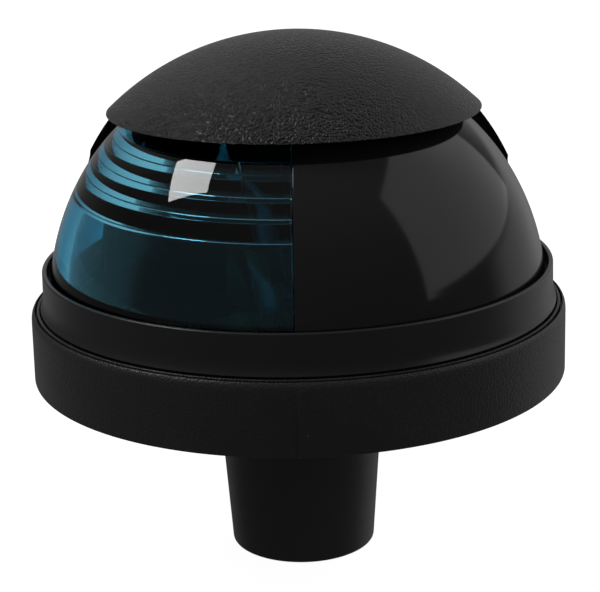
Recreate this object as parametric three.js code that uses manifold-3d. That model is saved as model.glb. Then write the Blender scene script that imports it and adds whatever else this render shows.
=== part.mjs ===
// Deck-mounted starboard sidelight: a round base with a tapered spigot, a domed cover held by a screwed
// collar, and a bayonet lamp in a sprung holder.
// Millimetres, +Z up. The origin is on the axis, in the deck plane under the base. Dead ahead is -Y, so
// starboard is -X; azimuths are degrees from dead ahead, positive towards port (+X).
import * as THREE from 'three';
import { mergeVertices } from 'three/addons/utils/BufferGeometryUtils.js';
import Module from 'manifold-3d';

const wasm = await Module();
wasm.setup();

// Driving dimensions
const ROUND_STEPS = 48;
const SMALL_STEPS = 20;
const DOME_CENTRE_Z = 10.3;

const BASE = { radius: 40, topRadius: 39.9, height: 10.3, floor: 2.5, lipInner: 39.4, edge: 0.3 };
const LEDGE = { inner: 38.6, outer: 39.05, top: 10.0, grooveBottom: 9.2 };
const NECK = { inner: 34.6, outer: 37.05, top: 10.8, trenchBottom: 7.6 };
const INDEX_RIB = { azimuth: 0.4, width: 1.5, proud: 0.4, top: 9.9 };
const STEM = { topRadius: 12.95, endRadius: 10.98, end: -28.8, edge: 0.8, bore: 10.2, endWallTop: -24.8 };
const GLAND = { seat: 5.05, recess: 7.0, recessTop: -27.3, hole: 3.2, slack: 0.05 };
const GASKET = { inner: 28, outer: 36, depth: 1.2, slack: 0.1 };
const DECK_HOLE = { circle: 22, radius: 2.2, azimuths: [0, 120, 240] };

const HOOD = { outer: 39.7, inner: 37.1, skirt: 36.5, skirtInner: 34.3, rimZ: 39.0, halfGap: 112.5 };
const LENS = { outer: 36.85, inner: 34.5, footRadius: 36.2, footTop: 18.7, stepZ: 19.1 };
const LENS_RIBS = [
  { z: 26.6, face: 29.9 },
  { z: 29.5, face: 28.2 },
  { z: 31.95, face: 26.4 },
  { z: 34.0, face: 24.5 },
];
const TOP_FLANGE = { inner: 15.6, outer: 20, root: 20.6, bottom: 39.4, top: 41.25 };
const FOOT = { inner: 34.3, outer: 37.1, bottom: 11.0, top: 12.4, innerTop: 14.0 };
const SEAM_AZIMUTH = -1.0;
const SEAM_GAP = 0.1;
const SHIELD_JOINT = 112.2;
const SHIELD_TUCK = 116;
const TUCK_BOTTOM = 27;

const COLLAR = { bottom: 8.2, top: 16.4, outerLow: 38.1, outerTop: 37.95, innerLow: 37.3, innerTop: 37.25 };
const CLAMP = { inner: 36.4, bottom: 12.5, top: 13.8 };
const COVER_SCREW = { circle: 17.8, boss: 2.4, bossBottom: 41.3, pilot: 0.9, pilotTop: 45 };
const COVER_SCREW_AZIMUTHS = { starboard_front: -28, starboard_side: -90, port_front: 28, port_side: 90 };
const O_RING = { radius: 36.1, section: 0.62, z: 10.28 };

const BRACKET = { length: 44, width: 20, bottom: 3.2, top: 4.2, hole: 8.3, screwX: 16.5, screwHole: 1.5 };
const BRACKET_PAD = 3.6;
const BRACKET_SCREW = { head: 2.8, headHeight: 1.9, shank: 1.15, pilot: 1.2, end: 1.2 };
const TERMINAL = { width: 6.3, sheet: 0.8, height: 9.5, foot: 9, x: 8.5, y: 19, rivetY: 25 };
const TERMINAL_RIVET = { head: 1.8, headHeight: 0.8, shank: 1.1, hole: 1.15, end: 1.5 };

const SOCKET = { inner: 7.65, outer: 8.15, flange: 9.8, flangeTop: 4.72, seat: 4.22, end: -19.5, lip: 3.5 };
const SOCKET_SLOT = { width: 2.4, seatTop: -1.8, bottom: -6.4, turnHeight: 2.4, turn: 18 };
const PIN = { radius: 1.0, z: -3.0, start: 7.53, end: 8.9 };

const BULB = { radius: 13.25, centreZ: 27.25, neck: 6.7, neckTop: 9.5, glassBottom: -2, wall: 0.8 };
const CAP = { radius: 7.5, wall: 0.4, bottom: -9.3, top: 6.0, lip: 5.0 };
const BULB_CONTACT = { radius: 1.25, bottom: -10.5, top: -8.9 };
const FILAMENT = { z: 28.8, half: 3.6, wire: 0.3, support: 0.35, rootHalf: 1.8 };
const PLUNGER = { radius: 7.3, top: -11.4, bottom: -12.6, hole: 1.55, contactHead: 2.4, contactTop: -10.75 };
const SPRING = { radius: 5.2, wire: 0.35, turns: 4, low: -18.6, high: -13.0, steps: 12, sides: 6 };

// Finishes
const plastic = (color, roughness) => new THREE.MeshStandardMaterial({ color, roughness, metalness: 0 });
const metal = (color, roughness) => new THREE.MeshStandardMaterial({ color, roughness, metalness: 1 });
const clear = (color, opacity) =>
  new THREE.MeshStandardMaterial({ color, roughness: 0.05, metalness: 0, transparent: true, opacity });
const grainedBlack = () => plastic(0x1c1b1a, 0.62);
const satinBlack = () => plastic(0x151514, 0.38);
const glossBlack = () => plastic(0x0b0b0b, 0.08);
const sealRubber = () => plastic(0x18181a, 0.85);
const brass = () => metal(0xb8923f, 0.3);
const steel = () => metal(0xaeb0b2, 0.3);

// A closed THREE geometry as a manifold solid.
function solid(geometry) {
  const bare = geometry.clone();
  bare.deleteAttribute('normal');
  bare.deleteAttribute('uv');
  const merged = mergeVertices(bare, 1e-5);
  const index = merged.index.array;
  const faces = [];
  for (let i = 0; i < index.length; i += 3) {
    const [a, b, c] = index.slice(i, i + 3);
    if (a !== b && b !== c && c !== a) {
      faces.push(a, b, c);
    }
  }
  return new wasm.Manifold(new wasm.Mesh({
    numProp: 3,
    vertProperties: new Float32Array(merged.attributes.position.array),
    triVerts: new Uint32Array(faces),
  }));
}

// A manifold solid back as a THREE geometry.
function geometryOf(body) {
  const { vertProperties, triVerts } = body.getMesh();
  const geometry = new THREE.BufferGeometry();
  geometry.setAttribute('position', new THREE.BufferAttribute(vertProperties, 3));
  geometry.setIndex(new THREE.BufferAttribute(triVerts, 1));
  geometry.computeVertexNormals();
  return geometry;
}

// A solid turned about the Z axis from a closed outline of [radius, z] points.
function turned(outline, steps = ROUND_STEPS) {
  const loop = [...outline];
  const [first, last] = [loop[0], loop.at(-1)];
  const onAxis = first[0] === 0 && last[0] === 0;
  if (!onAxis) {
    loop.push(first);
  }
  let area = 0;
  loop.forEach(([r, z], i) => {
    const [nextR, nextZ] = loop[(i + 1) % loop.length];
    area += r * nextZ - nextR * z;
  });
  if (area < 0) {
    loop.reverse();
  }
  const points = loop.map(([r, z]) => new THREE.Vector2(r, z));
  return solid(new THREE.LatheGeometry(points, steps).rotateX(Math.PI / 2));
}

// Points of a circle about the dome centre, from one height to another.
function domeArc(radius, fromZ, toZ, steps, centreZ = DOME_CENTRE_Z) {
  const angle = (z) => Math.asin(Math.min(1, (z - centreZ) / radius));
  return Array.from({ length: steps + 1 }, (_, i) => {
    const a = THREE.MathUtils.lerp(angle(fromZ), angle(toZ), i / steps);
    const r = Math.abs(Math.cos(a)) < 1e-9 ? 0 : radius * Math.cos(a);
    return [r, centreZ + radius * Math.sin(a)];
  });
}

// The height at which a dome of this radius is r from the axis.
const domeHeight = (radius, r) => DOME_CENTRE_Z + Math.sqrt(radius ** 2 - r ** 2);

// A point at an azimuth from dead ahead.
function atAzimuth(r, degrees) {
  const a = THREE.MathUtils.degToRad(degrees);
  return [r * Math.sin(a), -r * Math.cos(a)];
}

// A wedge of a disc between two azimuths and two heights.
function wedge(fromAzimuth, toAzimuth, bottom, top, radius = 60) {
  const shape = new THREE.Shape();
  const steps = Math.ceil(Math.abs(toAzimuth - fromAzimuth) / 15);
  shape.moveTo(0, 0);
  for (let i = 0; i <= steps; i += 1) {
    shape.lineTo(...atAzimuth(radius, THREE.MathUtils.lerp(fromAzimuth, toAzimuth, i / steps)));
  }
  return solid(new THREE.ExtrudeGeometry(shape, { depth: top - bottom, bevelEnabled: false })
    .translate(0, 0, bottom));
}

// An upright cylinder between two heights.
function rod(radius, bottom, top, x = 0, y = 0, steps = SMALL_STEPS) {
  return solid(new THREE.CylinderGeometry(radius, radius, top - bottom, steps)
    .rotateX(Math.PI / 2)
    .translate(x, y, (top + bottom) / 2));
}

// A box from its lowest to its highest corner.
function block([x0, y0, z0], [x1, y1, z1]) {
  return solid(new THREE.BoxGeometry(x1 - x0, y1 - y0, z1 - z0)
    .translate((x0 + x1) / 2, (y0 + y1) / 2, (z0 + z1) / 2));
}

const turnedBy = (body, degrees) =>
  solid(geometryOf(body).rotateZ(THREE.MathUtils.degToRad(degrees)));

const root = new THREE.Group();

function part(name, body, material) {
  const mesh = new THREE.Mesh(geometryOf(body), material);
  mesh.name = name;
  root.add(mesh);
}

// Base: outer wall with a thin lip, a groove and ledge inside it, a neck for the collar, and the spigot.
function baseHousing() {
  const body = turned([
    [GLAND.seat, STEM.endWallTop],
    [GLAND.seat, GLAND.recessTop],
    [GLAND.recess, GLAND.recessTop],
    [GLAND.recess, STEM.end],
    [STEM.endRadius - STEM.edge, STEM.end],
    [STEM.endRadius, STEM.end + STEM.edge],
    [STEM.topRadius, 0],
    [GASKET.inner, 0],
    [GASKET.inner, GASKET.depth],
    [GASKET.outer, GASKET.depth],
    [GASKET.outer, 0],
    [BASE.radius - BASE.edge, 0],
    [BASE.radius, BASE.edge],
    [BASE.topRadius, BASE.height - BASE.edge],
    [BASE.topRadius - BASE.edge, BASE.height],
    [BASE.lipInner, BASE.height],
    [BASE.lipInner, LEDGE.grooveBottom],
    [LEDGE.outer, LEDGE.grooveBottom],
    [LEDGE.outer, LEDGE.top],
    [LEDGE.inner, LEDGE.top],
    [LEDGE.inner, NECK.trenchBottom],
    [NECK.outer, NECK.trenchBottom],
    [NECK.outer, NECK.top],
    [O_RING.radius + O_RING.section + 0.05, NECK.top],
    [O_RING.radius + O_RING.section + 0.05, O_RING.z - O_RING.section - 0.05],
    [O_RING.radius - O_RING.section - 0.05, O_RING.z - O_RING.section - 0.05],
    [O_RING.radius - O_RING.section - 0.05, NECK.top],
    [NECK.inner, NECK.top],
    [NECK.inner, BASE.floor],
    [STEM.bore, BASE.floor],
    [STEM.bore, -8],
    [STEM.bore - 1.2, STEM.endWallTop],
  ]);
  const ribInner = BASE.radius - 0.6;
  const rib = turnedBy(block(
    [-INDEX_RIB.width / 2, -(BASE.radius + INDEX_RIB.proud), 0],
    [INDEX_RIB.width / 2, -ribInner, INDEX_RIB.top],
  ), INDEX_RIB.azimuth);
  const pads = [-1, 1].map((side) =>
    rod(BRACKET_PAD, BASE.floor - 0.5, BRACKET.bottom, side * BRACKET.screwX, 0));
  const pilots = [-1, 1].map((side) =>
    rod(BRACKET_SCREW.pilot, BRACKET_SCREW.end - 0.3, BRACKET.bottom + 1, side * BRACKET.screwX, 0));
  const rivetHoles = [-1, 1].map((side) =>
    rod(TERMINAL_RIVET.hole, TERMINAL_RIVET.end - 0.1, BASE.floor + 1, side * TERMINAL.x, TERMINAL.rivetY));
  const deckHoles = DECK_HOLE.azimuths.map((azimuth) =>
    rod(DECK_HOLE.radius, -1, BASE.floor + 1, ...atAzimuth(DECK_HOLE.circle, azimuth)));
  const joined = [rib, ...pads].reduce((whole, piece) => whole.add(piece), body);
  return [...pilots, ...rivetHoles, ...deckHoles].reduce((whole, hole) => whole.subtract(hole), joined);
}

// Foam ring let into the underside, flush with the deck plane.
function deckGasket() {
  return turned([
    [GASKET.inner + GASKET.slack, 0],
    [GASKET.outer - GASKET.slack, 0],
    [GASKET.outer - GASKET.slack, GASKET.depth - GASKET.slack],
    [GASKET.inner + GASKET.slack, GASKET.depth - GASKET.slack],
  ]);
}

// Rubber bush snapped into the end of the spigot, with the hole for the supply cable.
function cableGrommet() {
  const flange = GLAND.recess - GLAND.slack;
  const waist = GLAND.seat - GLAND.slack;
  return turned([
    [GLAND.hole, STEM.end],
    [flange, STEM.end],
    [flange, GLAND.recessTop - GLAND.slack],
    [waist, GLAND.recessTop - GLAND.slack],
    [waist, STEM.endWallTop + GLAND.slack],
    [waist + 1.4, STEM.endWallTop + GLAND.slack],
    [waist + 0.9, STEM.endWallTop + 1.5],
    [GLAND.hole, STEM.endWallTop + 1.5],
  ], 24);
}

// Round rubber seal in the top of the neck, under the feet of the cover pieces.
function coverSeal() {
  const sides = 6;
  return turned(Array.from({ length: sides }, (_, i) => {
    const a = 2 * Math.PI * (i + 0.5) / sides;
    return [O_RING.radius + O_RING.section * Math.cos(a), O_RING.z + O_RING.section * Math.sin(a)];
  }));
}

// Foot flange shared by the hood, the lens and the blanking panel, from its outer top round to the inside.
const footOutline = () => [
  [LENS.footRadius, FOOT.top],
  [FOOT.outer, FOOT.top],
  [FOOT.outer, FOOT.bottom],
  [FOOT.inner, FOOT.bottom],
];

// Hood: a domed cap all round, and below its rim a shield round the after 135 degrees.
function hood() {
  const skirtTop = domeHeight(HOOD.outer, HOOD.skirt);
  const innerTop = domeHeight(HOOD.inner, HOOD.skirtInner);
  const dome = turned([
    ...domeArc(HOOD.outer, DOME_CENTRE_Z + HOOD.outer, skirtTop, 12),
    [HOOD.skirt, CLAMP.top + 0.6],
    [LENS.footRadius, CLAMP.top + 0.3],
    ...footOutline(),
    ...domeArc(HOOD.inner, innerTop, DOME_CENTRE_Z + HOOD.inner, 10),
  ]);
  const window = wedge(-HOOD.halfGap, HOOD.halfGap, 0, HOOD.rimZ);
  const azimuths = Object.values(COVER_SCREW_AZIMUTHS);
  const bosses = azimuths.map((azimuth) =>
    rod(COVER_SCREW.boss, COVER_SCREW.bossBottom, COVER_SCREW.pilotTop - 0.6,
      ...atAzimuth(COVER_SCREW.circle, azimuth), 16));
  const pilots = azimuths.map((azimuth) =>
    rod(COVER_SCREW.pilot, COVER_SCREW.bossBottom - 1, COVER_SCREW.pilotTop,
      ...atAzimuth(COVER_SCREW.circle, azimuth), 12));
  const shell = bosses.reduce((whole, boss) => whole.add(boss), dome.subtract(window));
  return pilots.reduce((whole, pilot) => whole.subtract(pilot), shell);
}

// The turned dome that the lens and the blanking panel are both sectors of.
function lensDome(innerWall) {
  return turned([
    ...footOutline(),
    [FOOT.inner, FOOT.innerTop],
    ...innerWall,
    [TOP_FLANGE.root, TOP_FLANGE.bottom],
    [TOP_FLANGE.inner, TOP_FLANGE.bottom],
    [TOP_FLANGE.inner, TOP_FLANGE.top],
    ...domeArc(LENS.outer, domeHeight(LENS.outer, TOP_FLANGE.outer), LENS.stepZ, 12),
    [LENS.footRadius, LENS.footTop],
  ]);
}

// The sector on one side of the seam; above the foot it runs on under the shield's edge.
function domeSector(dome, side, screwAzimuths) {
  const gap = THREE.MathUtils.radToDeg(SEAM_GAP / 2 / LENS.outer);
  const seam = SEAM_AZIMUTH + side * gap;
  const sector = wedge(seam, side * SHIELD_JOINT, 0, 60)
    .add(wedge(seam, side * SHIELD_TUCK, TUCK_BOTTOM, 60));
  return screwAzimuths.reduce((piece, azimuth) => piece.subtract(
    rod(COVER_SCREW.pilot + 0.15, 38, 43, ...atAzimuth(COVER_SCREW.circle, azimuth), 12),
  ), dome.intersect(sector));
}

// Green lens: the upper inside is cut in upright steps, one to each rib.
function starboardLens() {
  const steps = LENS_RIBS.flatMap(({ z, face }, i) => {
    const faceTop = LENS_RIBS[i + 1]?.z ?? z + 2;
    return [[face, z], [face, faceTop]];
  });
  const dome = lensDome([...domeArc(LENS.inner, FOOT.innerTop + 0.2, LENS_RIBS[0].z, 5), ...steps]);
  return domeSector(dome, -1, [COVER_SCREW_AZIMUTHS.starboard_front, COVER_SCREW_AZIMUTHS.starboard_side]);
}

// Opaque panel that closes the port side of the dome.
function blankingPanel() {
  const dome = lensDome(domeArc(LENS.inner, FOOT.innerTop + 0.2, 36.5, 8));
  return domeSector(dome, 1, [COVER_SCREW_AZIMUTHS.port_front, COVER_SCREW_AZIMUTHS.port_side]);
}

// Retaining collar: a thin ring whose inner flange clamps the feet of the cover pieces.
function collarRing() {
  return turned([
    [COLLAR.outerLow, COLLAR.bottom],
    [COLLAR.outerTop, COLLAR.top - 0.15],
    [COLLAR.outerTop - 0.15, COLLAR.top],
    [COLLAR.innerTop + 0.1, COLLAR.top],
    [COLLAR.innerTop, COLLAR.top - 0.15],
    [COLLAR.innerTop, CLAMP.top],
    [CLAMP.inner, CLAMP.top],
    [CLAMP.inner, CLAMP.bottom],
    [COLLAR.innerLow, CLAMP.bottom],
    [COLLAR.innerLow, COLLAR.bottom],
  ]);
}

// A pan-head screw, head up, with a cross recess.
function panScrew(headRadius, headHeight, shankRadius, seat, end, steps) {
  const screw = turned([
    [0, end],
    [shankRadius * 0.55, end],
    [shankRadius, end + shankRadius],
    [shankRadius, seat],
    [headRadius, seat],
    [headRadius, seat + headHeight * 0.55],
    [headRadius * 0.72, seat + headHeight],
    [0, seat + headHeight],
  ], steps);
  const slot = [headRadius * 0.55, headRadius * 0.14];
  const floor = seat + headHeight * 0.45;
  const cut = block([-slot[0], -slot[1], floor], [slot[0], slot[1], seat + headHeight + 1]);
  return screw.subtract(cut).subtract(turnedBy(cut, 90));
}

function moved(body, x, y, z) {
  return solid(geometryOf(body).translate(x, y, z));
}

const upsideDown = (body) => solid(geometryOf(body).rotateX(Math.PI));

// Cover screw: driven up from inside through the top flange into the hood.
function coverScrew(azimuth) {
  const length = 5.2;
  const screw = upsideDown(panScrew(1.9, 1.3, 0.85, 0, -length, 12));
  return moved(screw, ...atAzimuth(COVER_SCREW.circle, azimuth), TOP_FLANGE.bottom - 0.02);
}

// Flat plate that carries the lamp holder across the floor of the base.
function lampBracket() {
  const half = { x: BRACKET.length / 2, y: BRACKET.width / 2, ear: 4.5 };
  const outline = new THREE.Shape();
  outline.moveTo(-half.x + half.ear, -half.ear);
  outline.lineTo(-half.y, -half.y);
  outline.lineTo(half.y, -half.y);
  outline.lineTo(half.x - half.ear, -half.ear);
  outline.absarc(half.x - half.ear, 0, half.ear, -Math.PI / 2, Math.PI / 2, false);
  outline.lineTo(half.y, half.y);
  outline.lineTo(-half.y, half.y);
  outline.lineTo(-half.x + half.ear, half.ear);
  outline.absarc(-half.x + half.ear, 0, half.ear, Math.PI / 2, Math.PI * 1.5, false);
  const depth = BRACKET.top - BRACKET.bottom;
  const plate = solid(new THREE.ExtrudeGeometry(outline, { depth, bevelEnabled: false, curveSegments: 8 })
    .translate(0, 0, BRACKET.bottom));
  const cutters = [-1, 1].map((side) => rod(BRACKET.screwHole, 0, 8, side * BRACKET.screwX, 0, 12));
  return [rod(BRACKET.hole, 0, 8, 0, 0, 32), ...cutters]
    .reduce((whole, hole) => whole.subtract(hole), plate);
}

// Bayonet lamp holder: a thin shell with two hooked slots.
function socketShell() {
  const wall = SOCKET.outer - SOCKET.inner;
  const shell = turned([
    [SOCKET.lip, SOCKET.end],
    [SOCKET.outer, SOCKET.end],
    [SOCKET.outer, SOCKET.seat],
    [SOCKET.flange, SOCKET.seat],
    [SOCKET.flange, SOCKET.flangeTop],
    [SOCKET.inner, SOCKET.flangeTop],
    [SOCKET.inner, SOCKET.end + wall],
    [SOCKET.lip, SOCKET.end + wall],
  ], 32);
  const half = SOCKET_SLOT.width / 2;
  const seat = block([SOCKET.inner - 1, -half, SOCKET_SLOT.bottom], [12, half, SOCKET_SLOT.seatTop]);
  const entry = block([SOCKET.inner - 1, -half, SOCKET_SLOT.bottom], [12, half, SOCKET.flangeTop + 1]);
  const link = wedge(90, 90 + SOCKET_SLOT.turn, SOCKET_SLOT.bottom,
    SOCKET_SLOT.bottom + SOCKET_SLOT.turnHeight, 12);
  const hooked = seat.add(turnedBy(entry, SOCKET_SLOT.turn)).add(link);
  return shell.subtract(hooked).subtract(turnedBy(hooked, 180));
}

// Brass spade terminal: an upright blade on a riveted foot.
function terminal(side) {
  const [x, half] = [side * TERMINAL.x, TERMINAL.width / 2];
  const foot = block(
    [x - half, TERMINAL.y, BASE.floor],
    [x + half, TERMINAL.y + TERMINAL.foot, BASE.floor + TERMINAL.sheet],
  );
  const blade = block(
    [x - half, TERMINAL.y, BASE.floor],
    [x + half, TERMINAL.y + TERMINAL.sheet, BASE.floor + TERMINAL.height],
  );
  return foot.add(blade).subtract(rod(TERMINAL_RIVET.hole, 0, 8, x, TERMINAL.rivetY, 12));
}

function terminalRivet(side) {
  const top = BASE.floor + TERMINAL.sheet;
  return moved(turned([
    [0, TERMINAL_RIVET.end],
    [TERMINAL_RIVET.shank, TERMINAL_RIVET.end],
    [TERMINAL_RIVET.shank, top + 0.02],
    [TERMINAL_RIVET.head, top + 0.02],
    [TERMINAL_RIVET.head * 0.7, top + TERMINAL_RIVET.headHeight],
    [0, top + TERMINAL_RIVET.headHeight],
  ], 12), side * TERMINAL.x, TERMINAL.rivetY, 0);
}

// Fibre carrier under the lamp, pushed up by the contact spring.
function contactPlunger() {
  return turned([
    [PLUNGER.hole, PLUNGER.bottom],
    [PLUNGER.radius, PLUNGER.bottom],
    [PLUNGER.radius, PLUNGER.top],
    [PLUNGER.hole, PLUNGER.top],
  ], 24);
}

function plungerContact() {
  const shank = PLUNGER.hole - 0.05;
  return turned([
    [0, PLUNGER.bottom - 1.4],
    [shank, PLUNGER.bottom - 1.4],
    [shank, PLUNGER.top + 0.02],
    [PLUNGER.contactHead, PLUNGER.top + 0.02],
    [PLUNGER.contactHead * 0.7, PLUNGER.contactTop],
    [0, PLUNGER.contactTop],
  ], 16);
}

class Helix extends THREE.Curve {
  getPoint(t, target = new THREE.Vector3()) {
    const a = t * SPRING.turns * 2 * Math.PI;
    const z = THREE.MathUtils.lerp(SPRING.low, SPRING.high, t);
    return target.set(SPRING.radius * Math.cos(a), SPRING.radius * Math.sin(a), z);
  }
}

function contactSpring() {
  const section = new THREE.Shape();
  for (let i = 0; i < SPRING.sides; i += 1) {
    const a = 2 * Math.PI * i / SPRING.sides;
    const [x, y] = [SPRING.wire * Math.cos(a), SPRING.wire * Math.sin(a)];
    if (i === 0) {
      section.moveTo(x, y);
    } else {
      section.lineTo(x, y);
    }
  }
  return solid(new THREE.ExtrudeGeometry(section, {
    steps: SPRING.turns * SPRING.steps,
    extrudePath: new Helix(),
    bevelEnabled: false,
  }));
}

// Lamp envelope: a sphere drawn down into a neck that is open inside the cap.
function bulbGlass() {
  const shoulder = -0.62;
  const ball = (radius, from, to) => Array.from({ length: 9 }, (_, i) => {
    const a = THREE.MathUtils.lerp(from, to, i / 8);
    return [i === 0 && from === Math.PI / 2 ? 0 : radius * Math.cos(a), BULB.centreZ + radius * Math.sin(a)];
  });
  const outer = ball(BULB.radius, Math.PI / 2, shoulder);
  const inner = ball(BULB.radius - BULB.wall, Math.PI / 2, shoulder);
  return turned([
    ...outer,
    [BULB.neck, BULB.neckTop],
    [BULB.neck, BULB.glassBottom],
    [BULB.neck - BULB.wall, BULB.glassBottom],
    [BULB.neck - BULB.wall, BULB.neckTop],
    ...inner.reverse(),
  ], 24);
}

function bulbCap() {
  const inner = CAP.radius - CAP.wall;
  return turned([
    [CAP.lip, CAP.bottom],
    [CAP.radius - 0.5, CAP.bottom],
    [CAP.radius, CAP.bottom + 0.5],
    [CAP.radius, CAP.top],
    [inner, CAP.top],
    [inner, CAP.bottom + CAP.wall],
    [CAP.lip, CAP.bottom + CAP.wall],
  ], 24);
}

function bulbPin(side) {
  const length = PIN.end - PIN.start;
  return solid(new THREE.CylinderGeometry(PIN.radius, PIN.radius, length, 12)
    .rotateZ(Math.PI / 2)
    .translate(side * (PIN.start + length / 2), 0, PIN.z));
}

// Black glass bead that closes the end of the cap round the contact.
function bulbInsulator() {
  return turned([
    [BULB_CONTACT.radius + 0.05, CAP.bottom - 0.5],
    [CAP.lip - 0.9, CAP.bottom - 0.5],
    [CAP.lip - 0.05, CAP.bottom],
    [CAP.lip - 0.05, CAP.bottom + 0.9],
    [BULB_CONTACT.radius + 0.05, CAP.bottom + 0.9],
  ], 20);
}

function bulbContact() {
  return turned([
    [0, BULB_CONTACT.bottom],
    [BULB_CONTACT.radius * 0.7, BULB_CONTACT.bottom + 0.15],
    [BULB_CONTACT.radius, BULB_CONTACT.bottom + 0.6],
    [BULB_CONTACT.radius, BULB_CONTACT.top],
    [0, BULB_CONTACT.top],
  ], 12);
}

// Glass pillar inside the neck that holds the two filament supports.
function glassStem() {
  return turned([
    [0, -1.5],
    [BULB.neck - BULB.wall - 0.1, -1.5],
    [BULB.neck - BULB.wall - 0.1, -0.5],
    [2.9, 4],
    [2.5, 11],
    [0, 11.6],
  ], 16);
}

function straightWire(from, to, radius) {
  const [a, b] = [new THREE.Vector3(...from), new THREE.Vector3(...to)];
  const along = b.clone().sub(a);
  const turn = new THREE.Quaternion().setFromUnitVectors(new THREE.Vector3(0, 1, 0), along.clone().normalize());
  const centre = a.add(b).multiplyScalar(0.5);
  return solid(new THREE.CylinderGeometry(radius, radius, along.length(), 8)
    .applyQuaternion(turn)
    .translate(centre.x, centre.y, centre.z));
}

const filamentSupport = (side) => straightWire(
  [side * FILAMENT.rootHalf, 0, 11.95],
  [side * FILAMENT.half, 0, FILAMENT.z],
  FILAMENT.support,
);

const filament = () => straightWire(
  [-FILAMENT.half + 0.6, 0, FILAMENT.z],
  [FILAMENT.half - 0.6, 0, FILAMENT.z],
  FILAMENT.wire,
);

part('base_housing', baseHousing(), grainedBlack());
part('deck_gasket', deckGasket(), plastic(0x232323, 0.95));
part('cable_grommet', cableGrommet(), sealRubber());
part('cover_seal', coverSeal(), sealRubber());
part('hood', hood(), grainedBlack());
part('starboard_lens', starboardLens(), clear(0x1d7f95, 0.6));
part('blanking_panel', blankingPanel(), glossBlack());
part('collar_ring', collarRing(), satinBlack());
for (const [place, azimuth] of Object.entries(COVER_SCREW_AZIMUTHS)) {
  part(`${place}_cover_screw`, coverScrew(azimuth), steel());
}
part('lamp_bracket', lampBracket(), steel());
part('socket_shell', socketShell(), brass());
for (const [place, side] of [['starboard', -1], ['port', 1]]) {
  const screw = panScrew(BRACKET_SCREW.head, BRACKET_SCREW.headHeight, BRACKET_SCREW.shank,
    BRACKET.top + 0.02, BRACKET_SCREW.end, 16);
  part(`${place}_bracket_screw`, moved(screw, side * BRACKET.screwX, 0, 0), steel());
  part(`${place}_terminal`, terminal(side), brass());
  part(`${place}_terminal_rivet`, terminalRivet(side), brass());
  part(`${place}_lamp_pin`, bulbPin(side), brass());
  part(`${place}_filament_support`, filamentSupport(side), steel());
}
part('contact_plunger', contactPlunger(), plastic(0x7a4a2a, 0.7));
part('plunger_contact', plungerContact(), brass());
part('contact_spring', contactSpring(), steel());
part('lamp_glass', bulbGlass(), clear(0xf4f7f8, 0.25));
part('lamp_cap', bulbCap(), brass());
part('lamp_insulator', bulbInsulator(), plastic(0x101012, 0.25));
part('lamp_contact', bulbContact(), metal(0xa9a9a4, 0.45));
part('glass_stem', glassStem(), clear(0xe8eef0, 0.5));
part('filament', filament(), metal(0x8c8a88, 0.4));

export default root;
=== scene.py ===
"""Looks of a deck-mounted starboard sidelight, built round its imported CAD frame.

Blender works in metres in the CAD's own frame: +Z up along the light's axis, the deck plane at z = 0, dead
ahead along -Y and starboard along -X. Sizes in this file are in millimetres and become metres when a mesh is
made. Azimuths are in degrees from dead ahead, positive towards port (+X).
"""

import logging
import math
from dataclasses import dataclass, field
from enum import Enum
from typing import Callable, Iterable, Sequence

import bmesh
import bpy
from mathutils import Euler, Matrix, Vector


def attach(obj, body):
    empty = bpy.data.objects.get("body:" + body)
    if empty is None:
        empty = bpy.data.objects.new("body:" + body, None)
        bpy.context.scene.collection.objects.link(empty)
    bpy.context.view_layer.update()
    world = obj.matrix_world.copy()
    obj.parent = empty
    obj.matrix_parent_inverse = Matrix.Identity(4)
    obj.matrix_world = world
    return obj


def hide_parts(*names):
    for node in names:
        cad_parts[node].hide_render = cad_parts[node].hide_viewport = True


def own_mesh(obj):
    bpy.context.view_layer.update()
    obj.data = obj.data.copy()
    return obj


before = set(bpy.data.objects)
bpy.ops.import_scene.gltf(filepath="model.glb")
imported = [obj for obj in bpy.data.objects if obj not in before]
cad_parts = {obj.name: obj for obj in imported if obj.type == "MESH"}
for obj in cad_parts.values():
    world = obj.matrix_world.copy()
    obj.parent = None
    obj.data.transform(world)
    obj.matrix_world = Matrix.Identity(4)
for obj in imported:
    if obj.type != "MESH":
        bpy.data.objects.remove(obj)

log = logging.getLogger("sidelight")

MM = 0.001
ON_AXIS = 1e-6
ACRYLIC_IOR = 1.49
GLASS_IOR = 1.47
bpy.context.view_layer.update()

Point = tuple[float, float]
Corner = tuple[float, ...]


# ---------------------------------------------------------------------------------------------------------
# Outlines: closed loops of (radius, height) or (x, y) points
# ---------------------------------------------------------------------------------------------------------


def rounded(corners: Sequence[Corner], steps: int = 4) -> list[Point]:
    """Closed outline whose corners are rounded where they say so.

    Args:
        corners: Points as (a, b), or (a, b, radius) for a corner that is rounded.
        steps: Straight pieces in each rounding.

    Returns:
        The points of the outline, in the same order.
    """
    points: list[Point] = []
    count = len(corners)
    for i, corner in enumerate(corners):
        here = Vector(corner[:2])
        radius = corner[2] if len(corner) > 2 else 0.0
        if radius <= 0.0:
            points.append((here.x, here.y))
            continue
        back = (Vector(corners[i - 1][:2]) - here).normalized()
        ahead = (Vector(corners[(i + 1) % count][:2]) - here).normalized()
        half = back.angle(ahead) / 2
        reach = radius / math.tan(half)
        centre = here + (back + ahead).normalized() * (radius / math.sin(half))
        first = here + back * reach - centre
        turn = first.angle_signed(here + ahead * reach - centre)
        for step in range(steps + 1):
            angle = -turn * step / steps
            x = first.x * math.cos(angle) - first.y * math.sin(angle)
            y = first.x * math.sin(angle) + first.y * math.cos(angle)
            points.append((centre.x + x, centre.y + y))
    return points


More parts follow.
